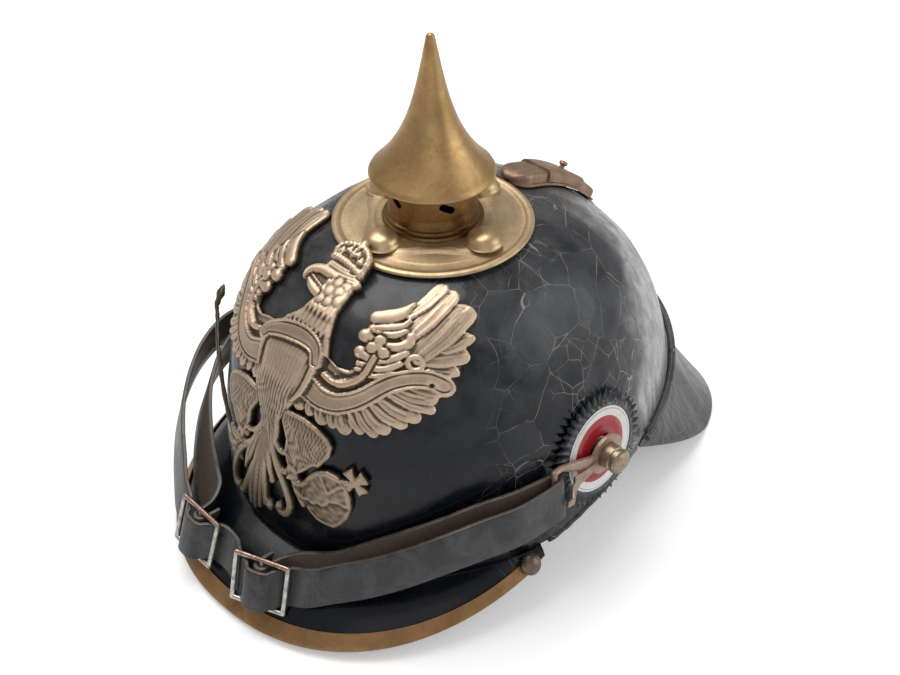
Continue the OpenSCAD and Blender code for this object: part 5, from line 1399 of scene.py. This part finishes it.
# Sweatband and liner
# A band of thin tan leather is sewn inside the rim, and eleven pointed fingers of the same leather lie
# under the crown, gathered at their tips.
band_h, lining_t, fingers = 34.0, 1.3, 11
band_off = lip_off - brim_t - seat - flats


def liner_leather():
    """Thin tan leather, darkened by sweat along its lower half and cracked fine."""
    f = Finish("tan_liner_leather", rough=0.62)
    sweat = f.ramp(f.times(f.noise(20, 4), 0.03, f.axis("Z")), (0.03, 1.0), (0.075, 0.0))
    tone = f.mix(f.noise(9, 6, 0.65, 0.4), (0.20, 0.115, 0.055), (0.36, 0.235, 0.125))
    f.set(Base_Color=f.mix(f.times(sweat, 0.8), tone, (0.060, 0.036, 0.021)))
    f.set(Roughness=f.times(f.noise(5, 4), 0.3, 0.45))
    fine = f.rising(f.cells(3.4, at=f.warped(9, 1.2)), 0.0, 0.07)
    f.set(Normal=f.bump(fine, 0.10, f.bump(f.noise(12, 4), 0.5)))
    return f


tan = liner_leather()
band_u = np.arange(240) * 1.5


def band_wall(off):
    """One face of the band, ring over ring, standing off the shell by off and waved a little round its middle."""
    wave = 0.15 * np.sin(np.radians(band_u) * 9)
    return np.array([shell_pt(band_u, share(rim_at(band_u) + z), off - wave * np.sin(z / band_h * np.pi))
                     for z in np.linspace(1, band_h, 24)])


loft("sweatband_leather", np.concatenate([band_wall(band_off), band_wall(band_off - lining_t)[::-1]]), "helmet", tan,
     ["sweatband"], loop=True, sharp=50)


def finger(i):
    """Closed sections of one liner finger: a tongue that narrows and sinks away from the shell to its rounded tip."""
    gap, deep, tip_share = 360 / fingers, 20.0, 0.93
    k, x = np.linspace(0, 1, 30)[:, None], np.linspace(-1, 1, 13)[None]
    width = 0.46 - 0.14 * k - 0.14 * np.clip((k - 0.8) * 5, 0, 1) ** 2
    u = gap * (i + 0.5) + x * gap * width
    foot = share(rim_at(u) + band_h + 0.4)
    sunk = band_off - deep * k ** 2 - 0.6 * (1 - x * x) * np.sin(np.pi * k)
    over, under = (shell_pt(u, foot + (tip_share - foot) * k, sunk - t) for t in (0, lining_t))
    return np.concatenate([over, under[:, ::-1]], axis=1)


for i in range(fingers):
    swaps = ["liner_fingers"] if i == 0 else ()
    loft(f"liner_finger_{i + 1}", finger(i), "helmet", tan, swaps, sharp=50)


# Studs, posts, lugs, buckles and inner fastenings
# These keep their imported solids: turned and cast pieces whose shape is already whole. Each gets the finish of
# its metal, and the small hidden ones that of plain steel or leather.
def wire_finish():
    """Buckle wire: whitish steel at the sides, a copper-pink bar across the top, brown rust in small spots."""
    f = Finish("buckle_wire", metal=1.0, rough=0.35)
    rust = f.rising(f.noise(2.6, 6, 0.7), 0.45, 0.66)
    top = f.rising(f.axis("Z"), 0.0315, 0.0335)
    colour = f.mix(top, (0.62, 0.60, 0.57), (0.42, 0.24, 0.17))
    f.set(Base_Color=f.mix(f.times(rust, 0.6), colour, (0.16, 0.10, 0.07)))
    f.set(Roughness=f.times(rust, 0.3, 0.26))
    f.set(Normal=f.bump(f.noise(1.8, 5, 0.6), 0.08))
    return f


# the neck's brass is coloured far darker than the spike's: painted shade under the flare
neck_brass_shaded = brass_finish("neck_brass_painted_dark", (0.28, 0.17, 0.072), (0.15, 0.088, 0.036), rough=0.42, stain=0.4)
post_brass = brass_finish("turned_post_brass", (0.52, 0.42, 0.30), (0.28, 0.21, 0.14), rough=0.36, stain=0.7)
stud_copper = copper_finish("brown_stud_copper", (0.30, 0.205, 0.16), (0.17, 0.115, 0.09), rough=0.3)
wire = wire_finish()
plain_steel = brass_finish("plain_steel", (0.52, 0.50, 0.47), (0.33, 0.31, 0.28), rough=0.4, stain=0.5)
finishes = {"dome_studs": stud_brass, "spike_neck": neck_brass_shaded, "trim_studs": stud_copper, "spine_stud": spine_copper,
            "vent_knob": spine_copper, "side_posts": post_brass, "lug_left": lug_copper, "lug_right": lug_copper,
            "buckle_left": wire, "buckle_right": wire, "post_nuts": plain_steel, "eagle_loops": plate_brass,
            "loop_wedges": tan, "stud_washers": tan}
for name, finish in finishes.items():
    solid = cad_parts[name]
    solid.data.materials.clear()
    solid.data.materials.append(finish.material)
